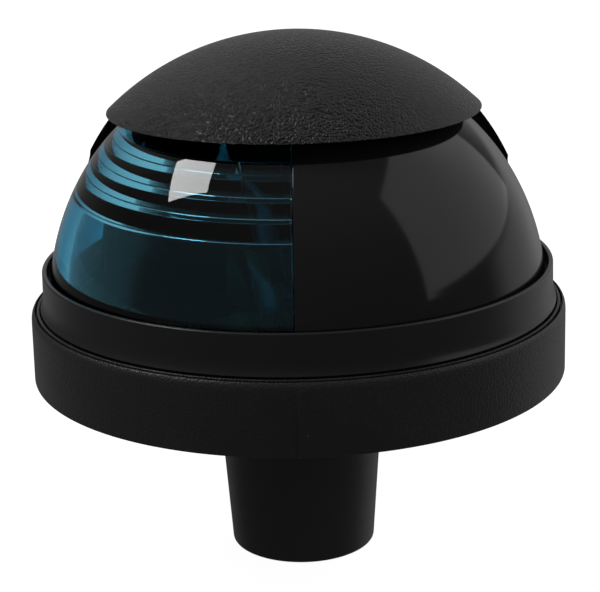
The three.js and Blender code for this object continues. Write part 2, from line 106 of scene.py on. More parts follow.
def sphere_arc(radius: float, centre: float, from_z: float, to_z: float, steps: int) -> list[Point]:
    """Points of a circle whose centre is on the axis.

    Args:
        radius: Radius of the circle.
        centre: Height of its centre.
        from_z: Height of the first point.
        to_z: Height of the last point.
        steps: Straight pieces in the arc.

    Returns:
        The (radius, height) points, both ends included.
    """
    start = math.asin(max(-1.0, min(1.0, (from_z - centre) / radius)))
    end = math.asin(max(-1.0, min(1.0, (to_z - centre) / radius)))
    points: list[Point] = []
    for step in range(steps + 1):
        angle = start + (end - start) * step / steps
        r = radius * math.cos(angle)
        points.append((0.0 if r < ON_AXIS else r, centre + radius * math.sin(angle)))
    return points


def spread(start: float, end: float, count: int) -> list[float]:
    """Evenly spaced values from start to end, both included."""
    return [start + (end - start) * i / count for i in range(count + 1)]


def at_azimuth(r: float, azimuth: float) -> Point:
    """The (x, y) of a point at a radius and an azimuth from dead ahead."""
    angle = math.radians(azimuth)
    return r * math.sin(angle), -r * math.cos(angle)


def azimuth_of(x: float, y: float) -> float:
    """The azimuth of a point from dead ahead, in degrees."""
    return math.degrees(math.atan2(x, -y))


# ---------------------------------------------------------------------------------------------------------
# Meshes
# ---------------------------------------------------------------------------------------------------------


@dataclass
class Band:
    """A run of columns of a turned piece that share one section.

    Attributes:
        azimuths: Where its columns stand.
        loop: Indices of the outline's points that its section has, in order.
    """

    azimuths: list[float]
    loop: list[int]


class Workshop:
    """Makes mesh objects from outlines, and finishes their edges."""

    SMOOTH_ANGLE = math.radians(34)
    WELD = 1e-5
    ROD_SIDES = 40
    FLAT_WEIGHT = 90

    @staticmethod
    def from_bmesh(name: str, bm: bmesh.types.BMesh) -> bpy.types.Object:
        """Object of a bmesh built in millimetres, with its normals outwards.

        Args:
            name: Name of the piece.
            bm: The mesh, which is freed.

        Returns:
            The new object, linked to the scene.
        """
        bmesh.ops.remove_doubles(bm, verts=bm.verts, dist=Workshop.WELD)
        bmesh.ops.recalc_face_normals(bm, faces=bm.faces)
        bmesh.ops.scale(bm, vec=(MM, MM, MM), verts=bm.verts)
        mesh = bpy.data.meshes.new(name)
        bm.to_mesh(mesh)
        bm.free()
        piece = bpy.data.objects.new(name, mesh)
        bpy.context.scene.collection.objects.link(piece)
        Workshop.smooth(piece)
        return piece

    @staticmethod
    def smooth(piece: bpy.types.Object) -> None:
        """Shades a piece smooth except across its sharp edges."""
        piece.data.shade_smooth()
        piece.data.set_sharp_from_angle(angle=Workshop.SMOOTH_ANGLE)

    @staticmethod
    def banded(name: str, outline: Sequence[Point], bands: Sequence[Band], ring: bool) -> bpy.types.Object:
        """A turned piece whose section changes from one run of columns to the next.

        Args:
            name: Name of the piece.
            outline: Every (radius, height) point of the fullest section.
            bands: Runs of columns in order, each starting where the last one ends.
            ring: Whether the last column joins the first.

        Returns:
            The new object.
        """
        bm = bmesh.new()
        columns: list[tuple[float, list[int]]] = []
        for band in bands:
            columns += [(azimuth, band.loop) for azimuth in band.azimuths[:-1]]
        if not ring:
            columns.append((bands[-1].azimuths[-1], bands[-1].loop))
        axis = {i: bm.verts.new((0, 0, z)) for i, (r, z) in enumerate(outline) if r < ON_AXIS}
        grid = [
            [
                axis[i] if i in axis else bm.verts.new((*at_azimuth(r, azimuth), z))
                for i, (r, z) in enumerate(outline)
            ]
            for azimuth, _ in columns
        ]
        total = len(columns)
        for k in range(total if ring else total - 1):
            here, there = grid[k], grid[(k + 1) % total]
            loop = columns[k][1]
            for a, b in zip(loop, loop[1:] + loop[:1]):
                corners = list(dict.fromkeys([here[a], here[b], there[b], there[a]]))
                if len(corners) > 2:
                    bm.faces.new(corners)
        Workshop._close_sections(bm, grid, [loop for _, loop in columns], ring)
        bmesh.ops.delete(bm, geom=[v for v in bm.verts if not v.link_faces], context="VERTS")
        return Workshop.from_bmesh(name, bm)

    @staticmethod
    def _close_sections(
        bm: bmesh.types.BMesh,
        grid: list[list[bmesh.types.BMVert]],
        loops: list[list[int]],
        ring: bool,
    ) -> None:
        """Closes the ends of a sector, and the steps where a section changes.

        Args:
            bm: The mesh.
            grid: Its vertices, column by column.
            loops: The section that starts at each column.
            ring: Whether the last column joins the first.
        """
        if not ring:
            bm.faces.new([grid[0][i] for i in loops[0]])
            bm.faces.new([grid[-1][i] for i in loops[-1]])
        first = 0 if ring else 1
        last = len(loops) if ring else len(loops) - 1
        for k in range(first, last):
            before, after = loops[k - 1], loops[k]
            if before == after:
                continue
            full, part = (before, after) if len(before) > len(after) else (after, before)
            missing = [i for i in full if i not in part]
            closing = [missing[0] - 1, *missing, missing[-1] + 1]
            bm.faces.new([grid[k][i] for i in closing])

    @staticmethod
    def turned(
        name: str,
        outline: Sequence[Point],
        columns: int = 96,
        sector: Point | None = None,
    ) -> bpy.types.Object:
        """A piece turned about the axis, whole or as a sector.

        Args:
            name: Name of the piece.
            outline: Closed (radius, height) outline.
            columns: Columns in the whole turn or in the sector.
            sector: First and last azimuth, or None for a whole turn.

        Returns:
            The new object.
        """
        start, end = sector or (0.0, 360.0)
        band = Band(spread(start, end, columns), list(range(len(outline))))
        return Workshop.banded(name, outline, [band], ring=sector is None)

    @staticmethod
    def extruded(name: str, outline: Sequence[Point], bottom: float, top: float) -> bpy.types.Object:
        """A plate between two heights.

        Args:
            name: Name of the piece.
            outline: Closed (x, y) outline.
            bottom: Height of its underside.
            top: Height of its upper face.

        Returns:
            The new object.
        """
        bm = bmesh.new()
        low = [bm.verts.new((x, y, bottom)) for x, y in outline]
        high = [bm.verts.new((x, y, top)) for x, y in outline]
        bm.faces.new(low)
        bm.faces.new(high)
        for i in range(len(outline)):
            bm.faces.new([low[i - 1], low[i], high[i], high[i - 1]])
        return Workshop.from_bmesh(name, bm)

    @staticmethod
    def wire(name: str, path: Sequence[Vector], radius: float, sides: int = 10) -> bpy.types.Object:
        """A round wire along a path, with closed ends.

        Args:
            name: Name of the piece.
            path: Points of its centre line.
            radius: Radius of the wire.
            sides: Sides of its section.

        Returns:
            The new object.
        """
        bm = bmesh.new()
        rings: list[list[bmesh.types.BMVert]] = []
        starts_along_y = abs((path[1] - path[0]).normalized().y) >= 0.9
        across = Vector((1, 0, 0)) if starts_along_y else Vector((0, 1, 0))
        for i, point in enumerate(path):
            along = (path[min(i + 1, len(path) - 1)] - path[max(i - 1, 0)]).normalized()
            across = (across - along * across.dot(along)).normalized()
            other = along.cross(across)
            rings.append([
                bm.verts.new(point + (across * math.cos(a) + other * math.sin(a)) * radius)
                for a in spread(0, math.tau, sides)[:-1]
            ])
        for here, there in zip(rings, rings[1:]):
            for i in range(sides):
                bm.faces.new([here[i - 1], here[i], there[i], there[i - 1]])
        bm.faces.new(rings[0])
        bm.faces.new(rings[-1])
        return Workshop.from_bmesh(name, bm)

    @staticmethod
    def apply(piece: bpy.types.Object) -> bpy.types.Object:
        """Applies a piece's modifiers to its mesh.

        Args:
            piece: The piece that changes.

        Returns:
            The same piece.
        """
        graph = bpy.context.evaluated_depsgraph_get()
        mesh = bpy.data.meshes.new_from_object(piece.evaluated_get(graph))
        piece.modifiers.clear()
        old = piece.data
        piece.data = mesh
        bpy.data.meshes.remove(old)
        mesh.name = piece.name
        return piece

    @staticmethod
    def cut(
        piece: bpy.types.Object, *tools: bpy.types.Object, operation: str = "DIFFERENCE"
    ) -> bpy.types.Object:
        """Cuts tools out of a piece, or joins them to it, and removes the tools.

        Args:
            piece: The piece that changes.
            tools: Closed meshes.
            operation: The Boolean modifier's operation.

        Returns:
            The same piece.
        """
        for tool in tools:
            modifier = piece.modifiers.new("cut", "BOOLEAN")
            modifier.operation = operation
            modifier.solver = "EXACT"
            modifier.object = tool
            Workshop.apply(piece)
            bpy.data.objects.remove(tool)
        Workshop.smooth(piece)
        return piece

    @staticmethod
    def bevelled(
        piece: bpy.types.Object, width: float, segments: int = 2, angle: float = 40
    ) -> bpy.types.Object:
        """Rounds a piece's sharp edges.

        Args:
            piece: The piece that changes.
            width: Width of the bevel in millimetres.
            segments: Faces across it.
            angle: Edges sharper than this many degrees are rounded.

        Returns:
            The same piece.
        """
        modifier = piece.modifiers.new("edges", "BEVEL")
        modifier.width = width * MM
        modifier.segments = segments
        modifier.limit_method = "ANGLE"
        modifier.angle_limit = math.radians(angle)
        modifier.harden_normals = False
        modifier.miter_outer = "MITER_ARC"
        Workshop.apply(piece)
        Workshop.smooth(piece)
        return piece

    @staticmethod
    def shaded(piece: bpy.types.Object) -> bpy.types.Object:
        """Lets the large faces of a piece set its shading, so that flats beside small roundings stay flat.

        Args:
            piece: The piece that changes.

        Returns:
            The same piece.
        """
        modifier = piece.modifiers.new("normals", "WEIGHTED_NORMAL")
        modifier.mode = "FACE_AREA"
        modifier.weight = Workshop.FLAT_WEIGHT
        modifier.keep_sharp = True
        return Workshop.apply(piece)

    @staticmethod
    def moved(
        piece: bpy.types.Object, x: float, y: float, z: float, upside_down: bool = False
    ) -> bpy.types.Object:
        """Moves a piece's mesh, turned over first if asked.

        Args:
            piece: The piece that changes.
            x: Millimetres along X.
            y: Millimetres along Y.
            z: Millimetres along Z.
            upside_down: Whether it is turned over about X first.

        Returns:
            The same piece.
        """
        turn = Matrix.Rotation(math.pi, 4, "X") if upside_down else Matrix.Identity(4)
        piece.data.transform(Matrix.Translation(Vector((x, y, z)) * MM) @ turn)
        return piece

    @staticmethod
    def block(low: Sequence[float], high: Sequence[float]) -> bpy.types.Object:
        """A square-edged cutting block from its lowest to its highest corner."""
        outline = [(low[0], low[1]), (high[0], low[1]), (high[0], high[1]), (low[0], high[1])]
        return Workshop.extruded("tool", outline, low[2], high[2])

    @staticmethod
    def rod(radius: float, bottom: float, top: float, place: Point = (0.0, 0.0)) -> bpy.types.Object:
        """An upright round cutting rod.

        Args:
            radius: Its radius.
            bottom: Height of its lower end.
            top: Height of its upper end.
            place: The (x, y) of its axis.

        Returns:
            The new object.
        """
        outline = [
            (place[0] + radius * math.cos(a), place[1] + radius * math.sin(a))
            for a in spread(0, math.tau, Workshop.ROD_SIDES)[:-1]
        ]
        return Workshop.extruded("tool", outline, bottom, top)


# ---------------------------------------------------------------------------------------------------------
# Shader maths and nodes
# ---------------------------------------------------------------------------------------------------------


class Value:
    """A number that comes out of a node, for use in Python arithmetic."""

    def __init__(self, graph: "Graph", socket: bpy.types.NodeSocket) -> None:
        """Wraps an output socket of a graph's node."""
        self.graph = graph
        self.socket = socket

    def _math(self, operation: str, *operands: "Value | float") -> "Value":
        """Adds a Math node.

        Args:
            operation: The node's operation.
            operands: Its inputs in order.

        Returns:
            Its output.
        """
        node = self.graph.node("ShaderNodeMath", {"operation": operation}, dict(enumerate(operands)))
        return Value(self.graph, node.outputs[0])

    def __add__(self, other: "Value | float") -> "Value":
        """self + other."""
        return self._math("ADD", self, other)

    __radd__ = __add__

    def __mul__(self, other: "Value | float") -> "Value":
        """self * other."""
        return self._math("MULTIPLY", self, other)

    __rmul__ = __mul__

    def __sub__(self, other: "Value | float") -> "Value":
        """self - other."""
        return self._math("SUBTRACT", self, other)

    def __rsub__(self, other: "Value | float") -> "Value":
        """other - self."""
        return self._math("SUBTRACT", other, self)

    def above(self, low: float, high: float) -> "Value":
        """A smooth step.

        Args:
            low: Where it leaves 0.
            high: Where it reaches 1.

        Returns:
            0 below low and 1 above high.
        """
        node = self.graph.node(
            "ShaderNodeMapRange",
            {"interpolation_type": "SMOOTHSTEP"},
            {"Value": self, "From Min": low, "From Max": high},
        )
        return Value(self.graph, node.outputs["Result"])


Input = Value | bpy.types.NodeSocket | float | Sequence[float]


class Graph:
    """The node tree of one material or of the world."""

    def __init__(self, owner: bpy.types.ID) -> None:
        """Starts an empty tree.

        Args:
            owner: The material or world that it belongs to.
        """
        owner.use_nodes = True
        self.tree = owner.node_tree
        self.tree.nodes.clear()

    def node(
        self,
        kind: str,
        settings: dict[str, object] | None = None,
        inputs: dict[str | int, Input] | None = None,
    ) -> bpy.types.Node:
        """Adds a node.

        Args:
            kind: Its Blender type.
            settings: Its own properties, set first.
            inputs: Values or links for its sockets, by name or number.

        Returns:
            The node.
        """
        node = self.tree.nodes.new(kind)
        for name, setting in (settings or {}).items():
            setattr(node, name, setting)
        for key, value in (inputs or {}).items():
            socket = node.inputs[key]
            if isinstance(value, Value):
                self.tree.links.new(value.socket, socket)
            elif isinstance(value, bpy.types.NodeSocket):
                self.tree.links.new(value, socket)
            elif isinstance(value, (int, float)):
                socket.default_value = value
            else:
                plain = list(value)
                wanted = len(socket.default_value)
                socket.default_value = (plain + [1.0])[:wanted] if len(plain) < wanted else plain
        return node

    def place(self, squeeze: Sequence[float] = (1, 1, 1)) -> bpy.types.NodeSocket:
        """The place on the object in metres.

        Args:
            squeeze: How many times finer the pattern is along each axis.

        Returns:
            The coordinates, stretched to suit.
        """
        coordinates = self.node("ShaderNodeTexCoord")
        mapping = self.node(
            "ShaderNodeMapping", None, {"Vector": coordinates.outputs["Object"], "Scale": squeeze}
        )
        return mapping.outputs["Vector"]

    def noise(
        self,
        size: float,
        detail: float = 2.0,
        rough: float = 0.5,
        squeeze: Sequence[float] = (1, 1, 1),
        warp: float = 0.0,
    ) -> Value:
        """Cloudy noise over the object.

        Args:
            size: Size of its blobs in millimetres.
            detail: Octaves of finer noise.
            rough: Strength of the finer octaves.
            squeeze: How many times finer it is along each axis.
            warp: How far the blobs are pushed about, which keeps them from lining up in rings.

        Returns:
            The noise, about 0.5 on average.
        """
        inputs: dict[str | int, Input] = {"Vector": self.place(squeeze), "Scale": 1 / (size * MM)}
        inputs.update({"Detail": detail, "Roughness": rough, "Distortion": warp})
        node = self.node("ShaderNodeTexNoise", None, inputs)
        return Value(self, node.outputs["Fac"])

    def cells(self, size: float) -> Value:
        """Distance to the nearest of many scattered points.

        Args:
            size: Spacing of the points in millimetres.

        Returns:
            The distance as a share of the spacing.
        """
        inputs: dict[str | int, Input] = {"Vector": self.place(), "Scale": 1 / (size * MM)}
        return Value(self, self.node("ShaderNodeTexVoronoi", None, inputs).outputs["Distance"])

    def specks(self, spacing: float, low: float, high: float) -> Value:
        """Small specks scattered over the object.

        Args:
            spacing: Distance between them in millimetres.
            low: Where a speck's soft edge starts, as a share of the way to its centre.
            high: Where it is at its fullest.

        Returns:
            1 on a speck and 0 between them.
        """
        return (1 - self.cells(spacing)).above(low, high)

    def blend(self, share: Input, low: Input, high: Input) -> bpy.types.NodeSocket:
        """Mixes two colours.

        Args:
            share: How much of the second colour shows.
            low: The colour at 0.
            high: The colour at 1.

        Returns:
            The mixed colour.
        """
        node = self.node("ShaderNodeMix", {"data_type": "RGBA"}, {0: share, 6: low, 7: high})
        return node.outputs[2]

    def bump(
        self, height: Value, depth: float, under: bpy.types.NodeSocket | None = None
    ) -> bpy.types.NodeSocket:
        """Relief on the surface.

        Args:
            height: The relief, from 0 to 1.
            depth: Its depth in millimetres.
            under: Coarser relief that it lies on.

        Returns:
            The normal.
        """
        inputs: dict[str | int, Input] = {"Height": height, "Distance": depth * MM, "Strength": 1.0}
        if under is not None:
            inputs["Normal"] = under
        return self.node("ShaderNodeBump", None, inputs).outputs["Normal"]

    def surface(self, **sockets: Input) -> None:
        """Ends the tree in a Principled shader.

        Args:
            sockets: Its inputs, with underscores for the spaces in their names.
        """
        named = {name.replace("_", " "): value for name, value in sockets.items()}
        shader = self.node("ShaderNodeBsdfPrincipled", None, named)
        self.node("ShaderNodeOutputMaterial", None, {"Surface": shader.outputs[0]})


# ---------------------------------------------------------------------------------------------------------
# Finishes
# ---------------------------------------------------------------------------------------------------------


@dataclass(frozen=True)
class Finish:
    """A finish, which makes its material once and gives it to pieces.

    Attributes:
        name: Name of the material.
    """

    name: str

    def build(self, graph: Graph) -> None:
        """Adds the finish's nodes to its material."""
        raise NotImplementedError

    def material(self) -> bpy.types.Material:
        """The finish's material, made at its first use.

        Returns:
            The material.
        """
        found = bpy.data.materials.get(self.name)
        if found is None:
            found = bpy.data.materials.new(self.name)
            self.build(Graph(found))
        return found

    def dress(self, piece: bpy.types.Object) -> bpy.types.Object:
        """Puts the finish on every face of a piece.

        Args:
            piece: The piece that changes.

        Returns:
            The same piece.
        """
        piece.data.materials.clear()
        piece.data.materials.append(self.material())
        return piece


@dataclass(frozen=True)
class GrainedPlastic(Finish):
    """Black moulding with a fine spark-eroded grain.

    Attributes:
        colour: Colour of the plastic.
        roughness: Its average roughness.
        grain: Size of the grain in millimetres.
        depth: Depth of the grain in millimetres.
        ior: How strongly the plastic reflects, as a refractive index.
    """

    colour: tuple[float, float, float] = (0.02, 0.0198, 0.0195)
    roughness: float = 0.38
    grain: float = 0.36
    depth: float = 0.03
    ior: float = 1.5

    def build(self, graph: Graph) -> None:
        """Adds pebbly grain, patchy gloss, a little dust in the hollows and a few pale specks.

        Args:
            graph: The material's empty tree.
        """
        pebbles = graph.cells(self.grain)
        fine = graph.noise(self.grain, 2.0, warp=0.4)
        patches = graph.noise(14.0, 3.0)
        relief = (1 - pebbles).above(0.15, 0.85)
        dust = (1 - relief) * patches.above(0.35, 0.75)
        under = graph.bump(relief, self.depth)
        specks = graph.specks(5.5, 0.962, 0.98)
        dusty = graph.blend(dust * 0.5, self.colour, [c * 1.8 for c in self.colour])
        graph.surface(
            Base_Color=graph.blend(specks * 0.6, dusty, (0.2, 0.19, 0.185)),
            Roughness=self.roughness + (patches - 0.5) * 0.12 + (1 - relief) * 0.06,
            IOR=self.ior,
            Normal=graph.bump(fine, self.depth * 0.6, under),
        )


@dataclass(frozen=True)
class SatinPlastic(Finish):
    """Black moulding straight from a smooth tool.

    Attributes:
        colour: Colour of the plastic.
        roughness: Its average roughness.
        ripple: Depth of its faint waviness in millimetres.
        ior: Its refractive index, lower for a duller skin.
    """

    colour: tuple[float, float, float] = (0.010, 0.010, 0.010)
    roughness: float = 0.34
    ripple: float = 0.004
    ior: float = 1.5

    def build(self, graph: Graph) -> None:
        """Adds faint flow marks, rubbed patches and hairline scuffs.

        Args:
            graph: The material's empty tree.
        """
        waves = graph.noise(6.0, 2.0, 0.5, (1, 1, 3))
        scuffs = graph.noise(2.2, 5.0, 0.75, (1, 1, 8)).above(0.66, 0.8)
        specks = graph.specks(1.7, 0.93, 0.98)
        graph.surface(
            Base_Color=graph.blend(specks * 0.25 + scuffs * 0.12, self.colour, (0.09, 0.088, 0.085)),
            Roughness=self.roughness + (waves - 0.5) * 0.1 + scuffs * 0.08,
            IOR=self.ior,
            Normal=graph.bump(waves, self.ripple),
        )


@dataclass(frozen=True)
class GlossPlastic(Finish):
    """Polished opaque plastic.

    Attributes:
        colour: Colour of the plastic.
        roughness: Its average roughness.
    """

    colour: tuple[float, float, float] = (0.017, 0.017, 0.017)
    roughness: float = 0.06

    def build(self, graph: Graph) -> None:
        """Adds dust specks, wiped smears and fine hairline scratches.

        Args:
            graph: The material's empty tree.
        """
        smears = graph.noise(9.0, 3.0, 0.6, (1, 1, 2.5))
        scratches = graph.noise(0.5, 2.0, 0.6, (1, 1, 14)).above(0.72, 0.8)
        specks = graph.specks(2.6, 0.95, 0.985)
        graph.surface(
            Base_Color=graph.blend(specks * 0.35 + scratches * 0.05, self.colour, (0.1, 0.1, 0.1)),
            Roughness=self.roughness + smears * 0.07 + scratches * 0.1,
            IOR=ACRYLIC_IOR,
            Normal=graph.bump(smears, 0.0015),
        )


@dataclass(frozen=True)
class TintedLens(Finish):
    """Polished transparent plastic, coloured through.

    Attributes:
        colour: Colour after light has passed in and out of the wall.
        roughness: Its average roughness.
        deepening: How much deeper the colour is where light crosses the wall at a slant.
    """

    colour: tuple[float, float, float] = (0.105, 0.375, 0.49)
    roughness: float = 0.02
    deepening: float = 2.6

    def build(self, graph: Graph) -> None:
        """Adds dust specks and the slight ripple of a moulded lens.

        Args:
            graph: The material's empty tree.
        """
        ripple = graph.noise(5.0, 2.0)
        specks = graph.specks(3.1, 0.955, 0.985)
        slant = Value(graph, graph.node("ShaderNodeLayerWeight", None, {"Blend": 0.5}).outputs["Facing"])
        tint = graph.blend(slant.above(0.36, 0.75), self.colour, [c**self.deepening for c in self.colour])
        graph.surface(
            Base_Color=graph.blend(specks * 0.6, tint, (0.3, 0.42, 0.45)),
            Roughness=self.roughness + specks * 0.2,
            IOR=ACRYLIC_IOR,
            Transmission_Weight=1.0,
            Normal=graph.bump(ripple, 0.002),
        )


@dataclass(frozen=True)
class Metal(Finish):
    """Bare metal.

    Attributes:
        colour: Colour of the clean metal.
        stain: Colour where it has dulled.
        roughness: Its average roughness.
        brush: How many times finer its marks are along each axis.
        mark: Size of its marks in millimetres.
    """

    colour: tuple[float, float, float] = (0.6, 0.6, 0.61)
    stain: tuple[float, float, float] = (0.42, 0.41, 0.4)
    roughness: float = 0.28
    brush: tuple[float, float, float] = (1.0, 1.0, 1.0)
    mark: float = 0.5

    def build(self, graph: Graph) -> None:
        """Adds drawn or brushed marks and dull patches.

        Args:
            graph: The material's empty tree.
        """
        marks = graph.noise(self.mark, 3.0, 0.6, self.brush)
        dull = graph.noise(4.0, 4.0, 0.6).above(0.45, 0.7)
        graph.surface(
            Base_Color=graph.blend(dull * 0.7, self.colour, self.stain),
            Metallic=1.0,
            Roughness=self.roughness + dull * 0.16 + (marks - 0.5) * 0.1,
            Normal=graph.bump(marks, 0.004),
        )


@dataclass(frozen=True)
class Rubber(Finish):
    """Matt black rubber or closed-cell foam.

    Attributes:
        colour: Its colour.
        cell: Size of its texture in millimetres.
        depth: Depth of that texture in millimetres.
    """

    colour: tuple[float, float, float] = (0.012, 0.012, 0.0125)
    cell: float = 0.3
    depth: float = 0.01

    def build(self, graph: Graph) -> None:
        """Adds cells, a bloom of grey and uneven dullness.

        Args:
            graph: The material's empty tree.
        """
        cells = graph.cells(self.cell)
        bloom = graph.noise(5.0, 4.0, 0.6).above(0.4, 0.8)
        graph.surface(
            Base_Color=graph.blend(bloom * 0.5, self.colour, [c * 2.6 for c in self.colour]),
            Roughness=0.78 + bloom * 0.15,
            Normal=graph.bump(cells, self.depth),
        )


@dataclass(frozen=True)
class Fibre(Finish):
    """Laminated fibre sheet, brown, with its layers on the cut edge.

    Attributes:
        colour: Colour of the sheet.
    """

    colour: tuple[float, float, float] = (0.14, 0.06, 0.025)

    def build(self, graph: Graph) -> None:
        """Adds paper fibres and edge layers.

        Args:
            graph: The material's empty tree.
        """
        layers = graph.noise(1.2, 2.0, 0.5, (1, 1, 12))
        fibres = graph.noise(0.7, 4.0, 0.7, (3, 1, 1))
        graph.surface(
            Base_Color=graph.blend(fibres * 0.6 + layers * 0.4, self.colour, (0.25, 0.12, 0.05)),
            Roughness=0.62 + fibres * 0.2,
            Normal=graph.bump(layers, 0.01),
        )


@dataclass(frozen=True)
class ClearGlass(Finish):
    """Clear blown glass with faint waves.

    Attributes:
        roughness: Its average roughness.
    """

    roughness: float = 0.01

    def build(self, graph: Graph) -> None:
        """Adds the waves of blown glass and a trace of haze.

        Args:
            graph: The material's empty tree.
        """
        waves = graph.noise(7.0, 1.0)
        haze = graph.noise(3.0, 4.0, 0.7).above(0.62, 0.85)
        graph.surface(
            Base_Color=graph.blend(haze * 0.3, (0.97, 0.99, 0.99), (0.86, 0.9, 0.9)),
            Roughness=self.roughness + haze * 0.05,
            IOR=GLASS_IOR,
            Transmission_Weight=1.0,
            Normal=graph.bump(waves, 0.01),
        )


@dataclass(frozen=True)
class PaleFloor(Finish):
    """Plain pale studio floor, lit evenly from below."""

    def build(self, graph: Graph) -> None:
        """Adds a barely uneven white with its own light.

        Args:
            graph: The material's empty tree.
        """
        tone = graph.noise(60.0, 2.0)
        graph.surface(
            Base_Color=graph.blend(tone, (0.30, 0.30, 0.30), (0.31, 0.31, 0.31)),
            Roughness=0.9,
            Emission_Color=(1.0, 1.0, 1.0),
            Emission_Strength=0.97,
        )


class Finishes(Enum):
    """The finishes of the light, one for each material slot or detail."""

    HOUSING = GrainedPlastic("housing_grain", (0.031, 0.0303, 0.0295))
    HOOD = GrainedPlastic("hood_grain", (0.005, 0.0049, 0.0048), 0.17, 0.4, 0.12, 1.42)
    SPIGOT = SatinPlastic("spigot_satin", colour=(0.033, 0.033, 0.0325), roughness=0.42)
    INSIDE = SatinPlastic("inside_matt", colour=(0.008, 0.008, 0.008), roughness=0.6, ior=1.2)
    COLLAR = SatinPlastic("collar_satin", colour=(0.025, 0.025, 0.025), roughness=0.3)
    PANEL = GlossPlastic("panel_gloss")
    LENS = TintedLens("lens_tint")
    SEAL = Rubber("seal_rubber_skin")
    GASKET = Rubber("gasket_foam_cells", colour=(0.022, 0.022, 0.022), cell=0.55, depth=0.12)
    SCREW = Metal("screw_bright", roughness=0.24, mark=0.3)
    BRACKET = Metal("bracket_zinc", (0.5, 0.5, 0.52), (0.36, 0.36, 0.36), 0.36, (6.0, 1.0, 1.0), 1.2)
    HOLDER = Metal("holder_brass_skin", (0.62, 0.42, 0.16), (0.36, 0.22, 0.09), 0.3, (1.0, 1.0, 5.0))
    CAP = Metal("cap_brass_skin", (0.66, 0.49, 0.24), (0.42, 0.28, 0.13), 0.26, (1.0, 1.0, 7.0), 0.4)
    SOLDER = Metal("solder_skin", (0.45, 0.45, 0.44), (0.3, 0.3, 0.3), 0.42, mark=0.25)
    TUNGSTEN = Metal("tungsten_skin", (0.26, 0.26, 0.26), (0.16, 0.15, 0.15), 0.42, mark=0.15)
    VITRITE = GlossPlastic("vitrite_skin", colour=(0.008, 0.008, 0.01), roughness=0.14)
    CARRIER = Fibre("carrier_fibre_skin")
    GLASS = ClearGlass("lamp_glass_skin")
    FLOOR = PaleFloor("studio_floor")


# ---------------------------------------------------------------------------------------------------------
# Sub-assemblies
# ---------------------------------------------------------------------------------------------------------


@dataclass
class Assembly:
    """Pieces that ride on one CAD body.

    Attributes:
        body: The CAD body.
        pieces: Every piece built so far.
    """

    body: str = "base"
    pieces: list[bpy.types.Object] = field(default_factory=list)

    def fit(self, piece: bpy.types.Object, finish: Finishes, slot: str, *nodes: str) -> bpy.types.Object:
        """Dresses a piece and fits it to the frame.

        Args:
            piece: The piece, in place.
            finish: What it is made of.
            slot: The record's material slot; not used.
            nodes: The CAD nodes that it stands for.

        Returns:
            The same piece.
        """
        finish.value.dress(Workshop.shaded(piece))
        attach(piece, self.body)
        if nodes:
            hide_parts(*nodes)
        self.pieces.append(piece)
        return piece

    @staticmethod
    def second_finish(
        piece: bpy.types.Object, finish: Finishes, chosen: Callable[[Vector, Vector], bool]
    ) -> None:
        """Puts another finish on some faces of a dressed piece.

        Args:
            piece: The piece.
            finish: The other finish.
            chosen: Whether a face takes it, from its centre in millimetres and its normal.
        """
        piece.data.materials.append(finish.value.material())
        for face in piece.data.polygons:
            if chosen(face.center / MM, face.normal):
                face.material_index = len(piece.data.materials) - 1


